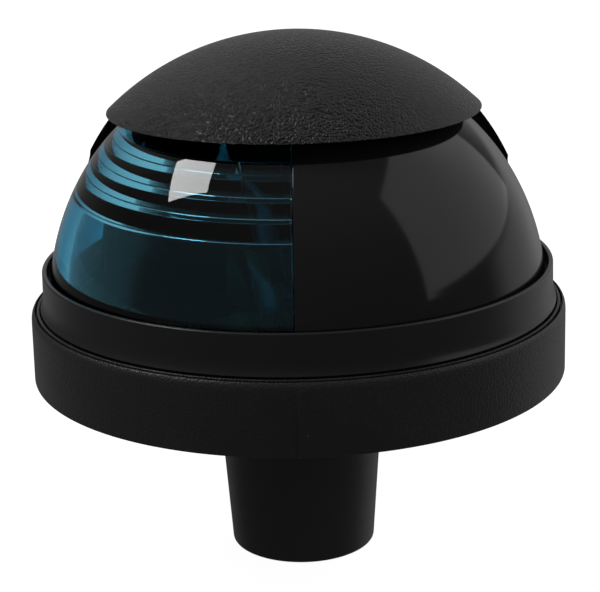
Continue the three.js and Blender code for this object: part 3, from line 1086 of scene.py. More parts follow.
@dataclass
class Base(Assembly):
    """The base moulding with its spigot, rubber parts and seal.

    A pair of radii is an inner and an outer one.

    Attributes:
        body: The CAD body that its pieces ride on.
        radius: Outer radius at the deck.
        height: Height of the lip.
        lip_inner: Inner radius of the lip.
        ledge: Height of the ledge inside the lip.
        trim: Radii of the fine ring on the ledge.
        trim_top: Top of that ring.
        moat: Floor of the gap that the collar turns in.
        neck: Radii of the neck that the cover stands on.
        neck_top: Top of the neck.
        floor: Floor of the well.
        gasket: Radii of the recess for the foam gasket.
        gasket_recess: Depth of that recess.
        cable_way: Radius of the hollow spigot, at the floor and at its end.
        cable_step: Height at which the hollow starts to taper.
        fit_gap: Gap between the rubber parts and the moulding.
        rib_azimuth: Where the index rib stands.
        rib_half: Half its width.
        rib_proud: How far it stands out.
        rib_top: Its top.
        spigot_top: Radius of the spigot under the base.
        spigot_end: Radius of its lower end.
        spigot_bottom: Height of its lower end.
        gland_seat: Radius of the hole in the end wall.
        gland_recess: Radius of the recess below it.
        gland_step: Height of the step between them.
        gland_hole: Radius of the hole through the grommet.
        end_wall: Top of the end wall.
        seal_radius: Radius of the seal ring.
        seal_section: Radius of its round section.
        seal_z: Height of its centre.
        deck_hole_circle: Radius of the circle of deck holes.
        deck_hole: Radius of a deck hole.
        pad_x: Distance of the bracket pads from the axis.
        pad_radius: Radius of a pad.
        pad_top: Top of a pad.
    """

    body: str = "base"
    radius: float = 40.0
    height: float = 10.3
    lip_inner: float = 39.4
    ledge: float = 9.2
    trim: Point = (38.65, 39.08)
    trim_top: float = 10.45
    moat: float = 7.6
    neck: Point = (34.6, 37.05)
    neck_top: float = 10.8
    floor: float = 2.5
    gasket: Point = (28.0, 36.0)
    gasket_recess: float = 1.2
    cable_way: Point = (10.2, 9.0)
    cable_step: float = -8.0
    fit_gap: float = 0.05
    rib_azimuth: float = 0.4
    rib_half: float = 0.62
    rib_proud: float = 0.26
    rib_top: float = 8.6
    spigot_top: float = 12.95
    spigot_end: float = 10.98
    spigot_bottom: float = -28.8
    gland_seat: float = 5.05
    gland_recess: float = 7.0
    gland_step: float = -27.3
    gland_hole: float = 3.2
    end_wall: float = -24.8
    seal_radius: float = 36.1
    seal_section: float = 0.62
    seal_z: float = 10.28
    deck_hole_circle: float = 22.0
    deck_hole: float = 2.2
    pad_x: float = 16.5
    pad_radius: float = 3.6
    pad_top: float = 3.2

    def outline(self) -> list[Point]:
        """Section of the moulding.

        Returns:
            The points, from the spigot's end round the outside to the well.
        """
        groove = self.seal_section + self.fit_gap
        groove_in, groove_out = self.seal_radius - groove, self.seal_radius + groove
        groove_floor = self.seal_z - groove
        neck_in, neck_out = self.neck
        trim_in, trim_out = self.trim
        gasket_in, gasket_out = self.gasket
        return rounded([
            (self.gland_seat, self.end_wall, 0.2),
            (self.gland_seat, self.gland_step, 0.1),
            (self.gland_recess, self.gland_step, 0.15),
            (self.gland_recess, self.spigot_bottom, 0.25),
            (self.spigot_end, self.spigot_bottom, 0.45),
            (self.spigot_top, 0.0, 0.5),
            (gasket_in, 0.0, 0.15),
            (gasket_in, self.gasket_recess, 0.1),
            (gasket_out, self.gasket_recess, 0.1),
            (gasket_out, 0.0, 0.15),
            (self.radius, 0.0, 0.15),
            (self.radius - 0.08, self.rib_top),
            (self.radius - 0.1, 9.3),
            (self.radius - 0.17, 9.75),
            (self.radius - 0.31, 10.08),
            (self.radius - 0.48, self.height - 0.03),
            (self.lip_inner, self.height, 0.08),
            (self.lip_inner, self.ledge, 0.05),
            (trim_out, self.ledge, 0.05),
            (trim_out, self.trim_top, 0.12),
            (trim_in, self.trim_top, 0.12),
            (trim_in, self.moat, 0.15),
            (neck_out, self.moat, 0.15),
            (neck_out, self.neck_top, 0.25),
            (groove_out, self.neck_top, 0.1),
            (groove_out, groove_floor, 0.2),
            (groove_in, groove_floor, 0.2),
            (groove_in, self.neck_top, 0.1),
            (neck_in, self.neck_top, 0.3),
            (neck_in, self.floor, 0.6),
            (self.cable_way[0], self.floor, 0.4),
            (self.cable_way[0], self.cable_step, 0.2),
            (self.cable_way[1], self.end_wall, 0.4),
        ])

    def shell(self) -> bpy.types.Object:
        """The moulding, with the ramped index rib drawn out of its wall and the deck holes cut through.

        Returns:
            The new object.
        """
        half = math.degrees(self.rib_half / self.radius)
        edge = math.degrees(0.12 / self.radius)
        left, right = self.rib_azimuth - half, self.rib_azimuth + half
        azimuths = [left - edge, left, *spread(left, right, 3)[1:-1], right, right + edge]
        azimuths += spread(right + edge, left - edge + 360, 236)[1:]
        outline = self.outline()
        band = Band(azimuths, list(range(len(outline))))
        piece = Workshop.banded("base_moulding", outline, [band], ring=True)
        for vertex in piece.data.vertices:
            x, y, z = vertex.co / MM
            azimuth = azimuth_of(x, y)
            on_wall = math.hypot(x, y) > self.radius - 0.5 and z < self.rib_top + 0.02
            if on_wall and left - 1e-3 < azimuth < right + 1e-3:
                share = 1 - 0.85 * (azimuth - left) / (right - left)
                grown = 1 + self.rib_proud * share / self.radius
                vertex.co.x *= grown
                vertex.co.y *= grown
        holes = [
            Workshop.rod(self.deck_hole, -1, self.floor + 1, at_azimuth(self.deck_hole_circle, azimuth))
            for azimuth in (0, 120, 240)
        ]
        pads = [
            Workshop.rod(self.pad_radius, self.floor - 0.5, self.pad_top, (side * self.pad_x, 0))
            for side in (-1, 1)
        ]
        Workshop.cut(piece, *holes)
        return Workshop.cut(piece, *pads, operation="UNION")

    def build(self) -> None:
        """Builds the moulding, gasket, grommet and seal."""
        shell = self.fit(self.shell(), Finishes.HOUSING, "housing_black", "base_housing")
        self.second_finish(shell, Finishes.SPIGOT, lambda centre, _: centre.z < -0.2)
        well = self.neck[1] + 0.45
        self.second_finish(
            shell, Finishes.INSIDE, lambda centre, _: centre.z > 0.2 and math.hypot(centre.x, centre.y) < well
        )
        foam_in, foam_out = self.gasket[0] + 0.1, self.gasket[1] - 0.1
        foam_top = self.gasket_recess - 0.1
        gasket = Workshop.turned("foam_gasket", rounded([
            (foam_in, 0.0, 0.15), (foam_out, 0.0, 0.15), (foam_out, foam_top, 0.1), (foam_in, foam_top, 0.1),
        ]), 120)
        self.fit(gasket, Finishes.GASKET, "gasket_foam", "deck_gasket")
        flange, waist = self.gland_recess - self.fit_gap, self.gland_seat - self.fit_gap
        hole = self.gland_hole
        grommet = Workshop.turned("rubber_grommet", rounded([
            (hole, self.spigot_bottom, 0.3),
            (flange, self.spigot_bottom, 0.2),
            (flange, self.gland_step - self.fit_gap, 0.1),
            (waist, self.gland_step - self.fit_gap),
            (waist, self.end_wall + self.fit_gap),
            (waist + 1.4, self.end_wall + self.fit_gap, 0.2),
            (waist + 0.9, self.end_wall + 1.5, 0.4),
            (hole, self.end_wall + 1.5, 0.3),
        ]), 72)
        self.fit(grommet, Finishes.SEAL, "seal_rubber", "cable_grommet")
        section = self.seal_section
        ring = [
            (self.seal_radius + section * math.cos(a), self.seal_z + section * math.sin(a))
            for a in spread(0, math.tau, 16)[:-1]
        ]
        self.fit(Workshop.turned("neck_seal", ring, 120), Finishes.SEAL, "seal_rubber", "cover_seal")


@dataclass
class Cover(Assembly):
    """The hood, the green lens and the blanking panel, with the screws that hold them together.

    Attributes:
        body: The CAD body that its pieces ride on.
        centre: Height of the centre of every dome.
        hood_outer: Outer radius of the hood's dome.
        hood_inner: Its inner radius.
        rim: Height of the cap's rim.
        rim_radius: Radius of the rim.
        skirt: Radius at which the shield turns upright.
        skirt_inner: Inner radius of every foot.
        shield_edges: Azimuths at which the shield ends.
        lens_outer: Outer radius of the lens and panel.
        lens_inner: Their inner radius.
        wall_foot: Height at which their inner dome starts.
        wall_top: Height at which the panel's inner dome ends.
        foot_radius: Radius of the feet under the collar.
        foot_shoulder: Top of the feet.
        foot_bottom: Underside of the feet.
        flange_radius: Radius of the flange that the collar holds.
        flange_top: Top of that flange.
        foot_top: Height at which the dome starts.
        crown_root: Radius at which the lens meets its crown.
        crown_hole: Radius of the hole in the crown.
        crown: Heights of the crown's two faces.
        edge: Rounding of the edges at the seam.
        seam: Azimuth of the seam between lens and panel.
        seam_gap: Width of the seam.
        shield_joint: Azimuth at which lens and panel end behind the shield.
        ear_z: Heights over which the shield's lower corners recede, to starboard and to port.
        ear_back: How far they recede, in degrees.
        ear_end: Azimuth at which that has died away.
        screw_circle: Radius of the circle of cover screws.
        screw_seat: Height of the seat of their heads.
        boss: Section of a screw boss, as (radius, height).
        ribs: Steps inside the lens, as (height, inner radius).
        screws: Names and azimuths of the cover screws.
    """

    body: str = "cover"
    centre: float = 10.3
    hood_outer: float = 39.7
    hood_inner: float = 37.1
    rim: float = 39.0
    rim_radius: float = 27.35
    skirt: float = 36.5
    skirt_inner: float = 34.3
    shield_edges: Point = (-112.0, 111.0)
    lens_outer: float = 37.05
    lens_inner: float = 34.5
    wall_foot: float = 14.3
    wall_top: float = 36.5
    foot_radius: float = 36.2
    foot_shoulder: float = 14.1
    foot_bottom: float = 11.0
    flange_radius: float = 37.1
    flange_top: float = 12.4
    foot_top: float = 18.7
    crown_root: float = 20.6
    crown_hole: float = 15.6
    crown: Point = (39.4, 41.25)
    edge: float = 0.2
    seam: float = -1.0
    seam_gap: float = 0.1
    shield_joint: float = 117.0
    ear_z: tuple[Point, Point] = ((28.6, 30.8), (26.6, 28.4))
    ear_back: float = 2.6
    ear_end: float = 135.0
    screw_circle: float = 17.8
    screw_seat: float = 39.38
    boss: tuple[Point, ...] = ((2.3, 41.3), (2.4, 41.45), (2.4, 44.2), (0.9, 44.2), (0.9, 41.45), (1.0, 41.3))
    ribs: tuple[Point, ...] = ((26.0, 29.9), (28.75, 28.2), (31.1, 26.4), (33.6, 24.5))
    screws: dict[str, float] = field(default_factory=lambda: {
        "starboard_front": -28, "starboard_side": -90, "port_front": 28, "port_side": 90,
    })

    def dome_z(self, radius: float, r: float) -> float:
        """Height at which a dome of a radius is r from the axis."""
        return self.centre + math.sqrt(radius**2 - r**2)

    def hood(self) -> bpy.types.Object:
        """The domed cap, and the shield that hangs from it round the after 135 degrees.

        Returns:
            The new object.
        """
        top = self.centre + self.hood_outer
        rim_shoulder = self.dome_z(self.hood_outer, self.rim_radius - 0.35)
        outer_cap = sphere_arc(self.hood_outer, self.centre, top, rim_shoulder, 26)
        rim_turn = [(self.rim_radius - 0.14, rim_shoulder - 0.22), (self.rim_radius - 0.02, self.rim + 0.12)]
        rim_outer = (self.rim_radius - 0.02, self.rim)
        skirt_top = self.dome_z(self.hood_outer, self.skirt)
        outer_shield = sphere_arc(self.hood_outer, self.centre, self.rim - 0.25, skirt_top, 18)
        foot = [
            (self.skirt, self.foot_shoulder + 0.3),
            (self.foot_radius, self.foot_shoulder),
            (self.foot_radius, self.flange_top),
            (self.flange_radius, self.flange_top),
            (self.flange_radius, self.foot_bottom),
            (self.skirt_inner, self.foot_bottom),
        ]
        inner_turn = self.dome_z(self.hood_inner, self.skirt_inner)
        inner_shield = sphere_arc(self.hood_inner, self.centre, inner_turn, self.rim, 18)
        inner_top = self.centre + self.hood_inner
        inner_cap = sphere_arc(self.hood_inner, self.centre, self.rim, inner_top, 20)[1:]
        upper = [*outer_cap, *rim_turn, rim_outer]
        outline = [*upper, *outer_shield, *foot, *inner_shield, *inner_cap]
        last_upper = len(upper) - 1
        first_inner = len(upper) + len(outer_shield) + len(foot) + len(inner_shield) - 1
        whole = list(range(len(outline)))
        cap_only = [i for i in whole if i <= last_upper or i >= first_inner]
        bands = [
            Band(spread(*self.shield_edges, 150), cap_only),
            Band(spread(self.shield_edges[1], 360 + self.shield_edges[0], 90), whole),
        ]
        piece = Workshop.banded("hood_moulding", outline, bands, ring=True)
        for vertex in piece.data.vertices:
            x, y, z = vertex.co / MM
            azimuth = azimuth_of(x, y)
            edge = self.shield_edges[1] if azimuth > 0 else -self.shield_edges[0]
            low, high = self.ear_z[azimuth > 0]
            share = min(1.0, max(0.0, (high - z) / (high - low)))
            behind = self.ear_end - abs(azimuth)
            if share > 0 and behind > 0:
                eased = share**2 * (3 - 2 * share)
                back = math.radians(eased * self.ear_back * behind / (self.ear_end - edge))
                vertex.co = Matrix.Rotation(math.copysign(back, azimuth), 3, "Z") @ vertex.co
        Workshop.smooth(piece)
        return Workshop.bevelled(piece, 0.22, 2, 50)

    def bosses(self) -> bpy.types.Object:
        """The four screw bosses inside the crown of the hood.

        Returns:
            The new object.
        """
        bm = bmesh.new()
        for azimuth in self.screws.values():
            x, y = at_azimuth(self.screw_circle, azimuth)
            rings = [
                [
                    bm.verts.new((x + r * math.cos(a), y + r * math.sin(a), z))
                    for a in spread(0, math.tau, 28)[:-1]
                ]
                for r, z in self.boss
            ]
            for here, there in zip(rings, rings[1:] + rings[:1]):
                for i in range(len(here)):
                    bm.faces.new([here[i - 1], here[i], there[i], there[i - 1]])
        return Workshop.from_bmesh("hood_bosses", bm)

    def window(self, name: str, side: int, inner_wall: Sequence[Corner]) -> bpy.types.Object:
        """The sector of the dome on one side of the seam.

        Args:
            name: Name of the piece.
            side: -1 to starboard or 1 to port.
            inner_wall: Corners up the inside, from above the foot to below the top flange.

        Returns:
            The piece, which above the foot runs on behind the shield's edge.
        """
        outer_top = self.dome_z(self.lens_outer, 20.0)
        crown_bottom, crown_top = self.crown
        corners: list[Corner] = [
            (self.foot_radius, self.flange_top, 0.05),
            (self.flange_radius, self.flange_top, 0.1),
            (self.flange_radius, self.foot_bottom, 0.15),
            (self.skirt_inner, self.foot_bottom, 0.15),
            (self.skirt_inner, 14.0),
            *inner_wall,
            (self.crown_root, crown_bottom, 0.3),
            (self.crown_hole, crown_bottom, 0.2),
            (self.crown_hole, crown_top, 0.2),
        ]
        outline = rounded(corners, 3)
        outline += sphere_arc(self.lens_outer, self.centre, outer_top, self.foot_top + 0.1, 34)
        outline += [(36.68, 16.4), (36.8, self.foot_shoulder + 0.1), (self.foot_radius, self.foot_shoulder)]
        gap = math.degrees(self.seam_gap / 2 / self.lens_outer)
        start, end = self.seam + side * gap, side * self.shield_joint
        edge = math.degrees(self.edge / self.lens_outer) * side
        azimuths = [start, start + edge * 0.15, start + edge * 0.5, *spread(start + edge, end, 130)]
        piece = Workshop.banded(name, outline, [Band(azimuths, list(range(len(outline))))], ring=False)
        middle = Vector((0, 0, self.centre * MM))
        for vertex in piece.data.vertices:
            x, y, z = vertex.co / MM
            inset = 1 - abs(azimuth_of(x, y) - start) / abs(edge)
            on_outside = math.hypot(x, y, z - self.centre) > self.lens_outer - 0.3 and z > 16
            if inset > 0.0 and on_outside:
                sunk = 1 - self.edge * (1 - math.sqrt(1 - min(inset, 1.0) ** 2)) / self.lens_outer
                vertex.co = (vertex.co - middle) * sunk + middle
        Workshop.smooth(piece)
        return piece

    def lens_wall(self) -> list[Corner]:
        """Inside of the green lens: a dome, then upright steps with a small rounding at each corner.

        Returns:
            The corners, from above the foot to below the crown.
        """
        first = self.ribs[0][0]
        corners: list[Corner] = list(sphere_arc(self.lens_inner, self.centre, self.wall_foot, first, 12))
        for i, (z, face) in enumerate(self.ribs):
            top = self.ribs[i + 1][0] if i + 1 < len(self.ribs) else z + 2
            corners += [(face, z, 0.14), (face, top, 0.1)]
        return corners

    def build(self) -> None:
        """Builds the hood, its bosses, the lens, the panel and the four screws."""
        def faces_in(centre: Vector, normal: Vector) -> bool:
            """Whether a face looks at the inside of the dome."""
            return normal.dot(centre - Vector((0, 0, self.centre))) < 0 and centre.z > self.foot_bottom + 0.5

        hood = self.fit(self.hood(), Finishes.HOOD, "hood_black", "hood")
        self.second_finish(hood, Finishes.INSIDE, faces_in)
        self.fit(self.bosses(), Finishes.INSIDE, "hood_black", "hood")
        lens = self.window("green_lens_moulding", -1, self.lens_wall())
        self.fit(lens, Finishes.LENS, "green_lens", "starboard_lens")
        wall = list(sphere_arc(self.lens_inner, self.centre, self.wall_foot, self.wall_top, 22))
        panel = self.window("blank_panel_moulding", 1, wall)
        self.fit(panel, Finishes.PANEL, "panel_black", "blanking_panel")
        self.second_finish(panel, Finishes.INSIDE, faces_in)
        for place, azimuth in self.screws.items():
            screw = CrossScrew(head=1.9, height=1.3, shank=0.85, length=5.2).build(f"{place}_pan_screw")
            x, y = at_azimuth(self.screw_circle, azimuth)
            Workshop.moved(screw, x, y, self.screw_seat, upside_down=True)
            self.fit(screw, Finishes.SCREW, "screw_steel", f"{place}_cover_screw")


@dataclass
class CrossScrew:
    """A pan-head screw with a cross recess, head up with its seat at z = 0.

    Attributes:
        head: Radius of the head.
        height: Height of the head.
        shank: Radius of the thread.
        length: Length under the head.
    """

    head: float
    height: float
    shank: float
    length: float

    def build(self, name: str) -> bpy.types.Object:
        """Builds the screw.

        Args:
            name: Name of the piece.

        Returns:
            The screw, on the axis.
        """
        pitch = self.shank * 0.7
        root = self.shank * 0.86
        threads = int((self.length - self.shank * 1.2) / pitch)
        outline: list[Corner] = [
            (0.0, self.height),
            (self.head * 0.62, self.height, 0.2),
            (self.head, self.height * 0.5, 0.35),
            (self.head, 0.0, 0.08),
            (root, 0.0),
        ]
        for i in range(threads):
            top = -pitch * (i + 0.35)
            outline += [(root, top), (self.shank, top - pitch * 0.25), (root, top - pitch * 0.5)]
        outline += [(self.shank * 0.3, -self.length), (0.0, -self.length)]
        screw = Workshop.turned(name, rounded(outline, 4), 40)
        arm, half = self.head * 0.56, self.head * 0.13
        floor = self.height * 0.42
        for turn in (0, 1):
            low = (-half, -arm, floor) if turn else (-arm, -half, floor)
            high = (half, arm, self.height + 1) if turn else (arm, half, self.height + 1)
            Workshop.cut(screw, Workshop.block(low, high))
        return screw


@dataclass
class Collar(Assembly):
    """The screwed ring that holds the cover down.

    Attributes:
        body: The CAD body that its pieces ride on.
        bottom: Its lower end.
        top: Its upper end.
        outer_low: Outer radius at the bottom.
        outer_top: Outer radius at the top.
        flare: Corners of the outside, from the groove above the base to the plain wall.
        inner_low: Inner radius under the clamping flange.
        inner_top: Inner radius above it.
        clamp: Inner radius of that flange.
        clamp_z: Its lower and upper face.
    """

    body: str = "collar"
    bottom: float = 8.2
    top: float = 16.4
    outer_low: float = 38.1
    outer_top: float = 37.95
    flare: tuple[Corner, ...] = (
        (38.1, 10.5, 0.1), (38.55, 10.66, 0.06), (38.33, 11.0), (38.16, 11.5), (38.06, 12.2), (38.02, 13.0),
    )
    inner_low: float = 37.3
    inner_top: float = 37.25
    clamp: float = 36.4
    clamp_z: Point = (12.5, 13.8)

    def build(self) -> None:
        """Builds the ring with its rounded top edge and its inner clamping flange."""
        clamp_bottom, clamp_top = self.clamp_z
        ring = Workshop.turned("collar_band", rounded([
            (self.outer_low, self.bottom, 0.2),
            *self.flare,
            (self.outer_top, self.top, 0.26),
            (self.inner_top, self.top, 0.22),
            (self.inner_top, clamp_top, 0.05),
            (self.clamp, clamp_top, 0.1),
            (self.clamp, clamp_bottom, 0.1),
            (self.inner_low, clamp_bottom, 0.05),
            (self.inner_low, self.bottom, 0.2),
        ]), 240)
        self.fit(ring, Finishes.COLLAR, "collar_black", "collar_ring")


@dataclass
class Holder(Assembly):
    """The lamp holder with its bracket, terminals and contact spring.

    Attributes:
        body: The CAD body that its pieces ride on.
        bracket_bottom: Underside of the bracket.
        bracket_top: Its upper face.
        bracket_half: Half its length and half its width.
        ear: Radius of its ears.
        holder_hole: Radius of its middle hole.
        screw_hole: Radius of its screw holes.
        screw_x: Distance of its screws from the axis.
        shell_inner: Inner radius of the shell.
        shell_outer: Its outer radius.
        shell_end: Its lower end.
        flange: Radius of its flange.
        flange_top: Top of the flange.
        flange_seat: Underside of the flange.
        slot_half: Half the width of a slot.
        slot_bottom: Lower end of a slot.
        slot_top: Top of the short leg, where a pin rests.
        slot_turn: Turn from the long leg to the short leg, in degrees.
        slot_link: Height of the link between the legs.
        end_hole: Radius of the hole in the shell's end.
        terminal_x: Distance of the terminals from the centre line.
        terminal_y: Front face of a blade.
        blade_half: Half the width of a blade.
        blade_height: Height of a blade.
        blade_foot: Length of its foot.
        rivet_y: Where the foot is riveted.
        sheet: Thickness of the terminals.
        floor: Floor of the well.
        spring_radius: Radius of the coil.
        spring_wire: Radius of its wire.
        spring_turns: Number of turns.
        spring_z: Heights of the middle of its first and last turn.
        spring_seat: Where its fixed end stands; not used.
        spring_free: Where its free end stands; not used.
        spring_travel: How far the free end goes down; not used.
    """

    body: str = "base"
    bracket_bottom: float = 3.2
    bracket_top: float = 4.2
    bracket_half: Point = (22.0, 10.0)
    ear: float = 4.5
    holder_hole: float = 8.3
    screw_hole: float = 1.5
    screw_x: float = 16.5
    shell_inner: float = 7.65
    shell_outer: float = 8.15
    shell_end: float = -19.5
    flange: float = 9.8
    flange_top: float = 4.72
    flange_seat: float = 4.22
    slot_half: float = 1.2
    slot_bottom: float = -6.4
    slot_top: float = -1.8
    slot_turn: float = 18.0
    slot_link: float = 2.4
    end_hole: float = 3.5
    terminal_x: float = 8.5
    terminal_y: float = 19.0
    blade_half: float = 3.15
    blade_height: float = 9.5
    blade_foot: float = 9.0
    rivet_y: float = 25.0
    sheet: float = 0.8
    floor: float = 2.5
    spring_radius: float = 5.2
    spring_wire: float = 0.35
    spring_turns: int = 4
    spring_z: Point = (-18.6, -13.0)
    spring_seat: float = -18.95
    spring_free: float = -12.65
    spring_travel: float = 2.0

    def bracket(self) -> bpy.types.Object:
        """The flat plate across the base, with eared ends.

        Returns:
            The new object.
        """
        half_x, half_y = self.bracket_half
        ends = [
            [
                (side * (half_x - self.ear) + self.ear * math.cos(a), self.ear * math.sin(a))
                for a in spread(start, start + math.pi, 20)
            ]
            for side, start in ((1, -math.pi / 2), (-1, math.pi / 2))
        ]
        front, back = [(-half_y, -half_y), (half_y, -half_y)], [(half_y, half_y), (-half_y, half_y)]
        outline = [*front, *ends[0], *back, *ends[1]]
        plate = Workshop.extruded("holder_bracket", outline, self.bracket_bottom, self.bracket_top)
        Workshop.cut(plate, Workshop.rod(self.holder_hole, 0, 8))
        for side in (1, -1):
            Workshop.cut(plate, Workshop.rod(self.screw_hole, 0, 8, (side * self.screw_x, 0)))
        return Workshop.bevelled(plate, 0.12)

    def shell(self) -> bpy.types.Object:
        """The thin bayonet shell with its two hooked slots.

        Returns:
            The new object.
        """
        wall = self.shell_outer - self.shell_inner
        shell = Workshop.turned("bayonet_shell", rounded([
            (self.end_hole, self.shell_end, 0.05),
            (self.shell_outer, self.shell_end, 0.5),
            (self.shell_outer, self.flange_seat, 0.1),
            (self.flange, self.flange_seat, 0.1),
            (self.flange, self.flange_top, 0.2),
            (self.shell_inner, self.flange_top, 0.25),
            (self.shell_inner, self.shell_end + wall, 0.2),
            (self.end_hole, self.shell_end + wall, 0.05),
        ]), 96)
        near, far, above_flange = self.shell_inner - 1, 12.0, 6.0
        corner = (near, -self.slot_half, self.slot_bottom)
        turns = spread(0, self.slot_turn, 2)
        arc = [at_azimuth(near, 90 + turn) for turn in turns]
        arc += [at_azimuth(far, 90 + turn) for turn in reversed(turns)]
        for flip in (0, 180):
            seat = Workshop.block(corner, (far, self.slot_half, self.slot_top))
            entry = Workshop.block(corner, (far, self.slot_half, above_flange))
            link = Workshop.extruded("tool", arc, self.slot_bottom, self.slot_bottom + self.slot_link)
            for tool, turn in ((seat, flip), (entry, flip + self.slot_turn), (link, flip)):
                tool.data.transform(Matrix.Rotation(math.radians(turn), 4, "Z"))
            Workshop.cut(shell, seat, entry, link)
        return shell

    def terminal(self, name: str, side: int) -> bpy.types.Object:
        """A spade terminal: an upright blade with clipped corners on a bent foot.

        Args:
            name: Name of the piece.
            side: -1 to starboard or 1 to port.

        Returns:
            The new object.
        """
        top, reach = self.floor + self.blade_height, self.terminal_y + self.blade_foot
        outline = rounded([
            (self.terminal_y, self.floor, 0.7),
            (reach, self.floor),
            (reach, self.floor + self.sheet),
            (self.terminal_y + self.sheet, self.floor + self.sheet, 0.25),
            (self.terminal_y + self.sheet, top),
            (self.terminal_y, top),
        ])
        piece = Workshop.extruded(name, outline, -self.blade_half, self.blade_half)
        x, slack = side * self.terminal_x, 0.01
        outline_to_yz = Matrix(((0, 0, 1, x * MM), (1, 0, 0, 0), (0, 1, 0, 0), (0, 0, 0, 1)))
        outline_to_xz = Matrix(((1, 0, 0, 0), (0, 0, -1, 0), (0, 1, 0, 0), (0, 0, 0, 1)))
        piece.data.transform(outline_to_yz)
        for edge in (-1, 1):
            corner = x + edge * self.blade_half
            outside = corner + edge * slack
            clip = [(corner - edge * 1.1, top + slack), (outside, top + slack), (outside, top - 1.2)]
            tool = Workshop.extruded("tool", clip, -30, -10)
            tool.data.transform(outline_to_xz)
            Workshop.cut(piece, tool)
        Workshop.cut(piece, Workshop.rod(1.15, 0, 5, (x, self.rivet_y)))
        return Workshop.bevelled(piece, 0.08)

    def spring(self) -> bpy.types.Object:
        """The contact spring.

        Returns:
            The new object.
        """
        low, high = self.spring_z
        radius = self.spring_radius
        path = []
        for t in spread(0, 1, self.spring_turns * 36):
            angle = math.tau * self.spring_turns * t
            path.append(Vector((radius * math.cos(angle), radius * math.sin(angle), low + (high - low) * t)))
        return Workshop.wire("contact_coil", path, self.spring_wire, 12)

    def build(self) -> None:
        """Builds the bracket, shell, screws, terminals, rivets and spring."""
        self.fit(self.bracket(), Finishes.BRACKET, "bracket_steel", "lamp_bracket")
        self.fit(self.shell(), Finishes.HOLDER, "holder_brass", "socket_shell")
        for place, side in (("starboard", -1), ("port", 1)):
            screw = CrossScrew(head=2.8, height=1.9, shank=1.15, length=3.0).build(f"{place}_holder_screw")
            Workshop.moved(screw, side * self.screw_x, 0, self.bracket_top + 0.02)
            self.fit(screw, Finishes.SCREW, "screw_steel", f"{place}_bracket_screw")
            blade = self.terminal(f"{place}_spade", side)
            self.fit(blade, Finishes.HOLDER, "holder_brass", f"{place}_terminal")
            seat = self.floor + self.sheet + 0.02
            rivet = Workshop.turned(f"{place}_spade_rivet", rounded([
                (0.0, 1.5), (1.1, 1.5, 0.1), (1.1, seat), (1.8, seat, 0.1), (1.7, seat + 0.55, 0.35),
                (0.6, seat + 0.78, 0.2), (0.0, seat + 0.78),
            ]), 36)
            Workshop.moved(rivet, side * self.terminal_x, self.rivet_y, 0)
            self.fit(rivet, Finishes.HOLDER, "holder_brass", f"{place}_terminal_rivet")
        spring = self.fit(self.spring(), Finishes.SCREW, "screw_steel", "contact_spring")
        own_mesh(spring)


@dataclass
class Plunger(Assembly):
    """The fibre disc under the lamp and the contact riveted through it.

    Attributes:
        body: The CAD body that its pieces ride on.
        top: Upper face of the disc.
        bottom: Its underside.
        radius: Its radius.
        hole: Radius of the hole through it.
        dome: Top of the contact.
    """

    body: str = "plunger"
    top: float = -11.4
    bottom: float = -12.6
    radius: float = 7.3
    hole: float = 1.55
    dome: float = -10.75

    def build(self) -> None:
        """Builds the disc and its contact."""
        disc = Workshop.turned("fibre_disc", rounded([
            (self.hole, self.bottom),
            (self.radius, self.bottom, 0.12),
            (self.radius, self.top, 0.12),
            (self.hole, self.top),
        ]), 72)
        self.fit(disc, Finishes.CARRIER, "carrier_fibre", "contact_plunger")
        shank, seat = self.hole - 0.05, self.top + 0.02
        contact = Workshop.turned("disc_contact", rounded([
            (0.0, self.bottom - 1.4), (shank, self.bottom - 1.4, 0.2), (shank, seat), (2.4, seat, 0.08),
            (2.2, seat + 0.45, 0.25), (0.7, self.dome, 0.5), (0.0, self.dome),
        ]), 48)
        self.fit(contact, Finishes.HOLDER, "holder_brass", "plunger_contact")


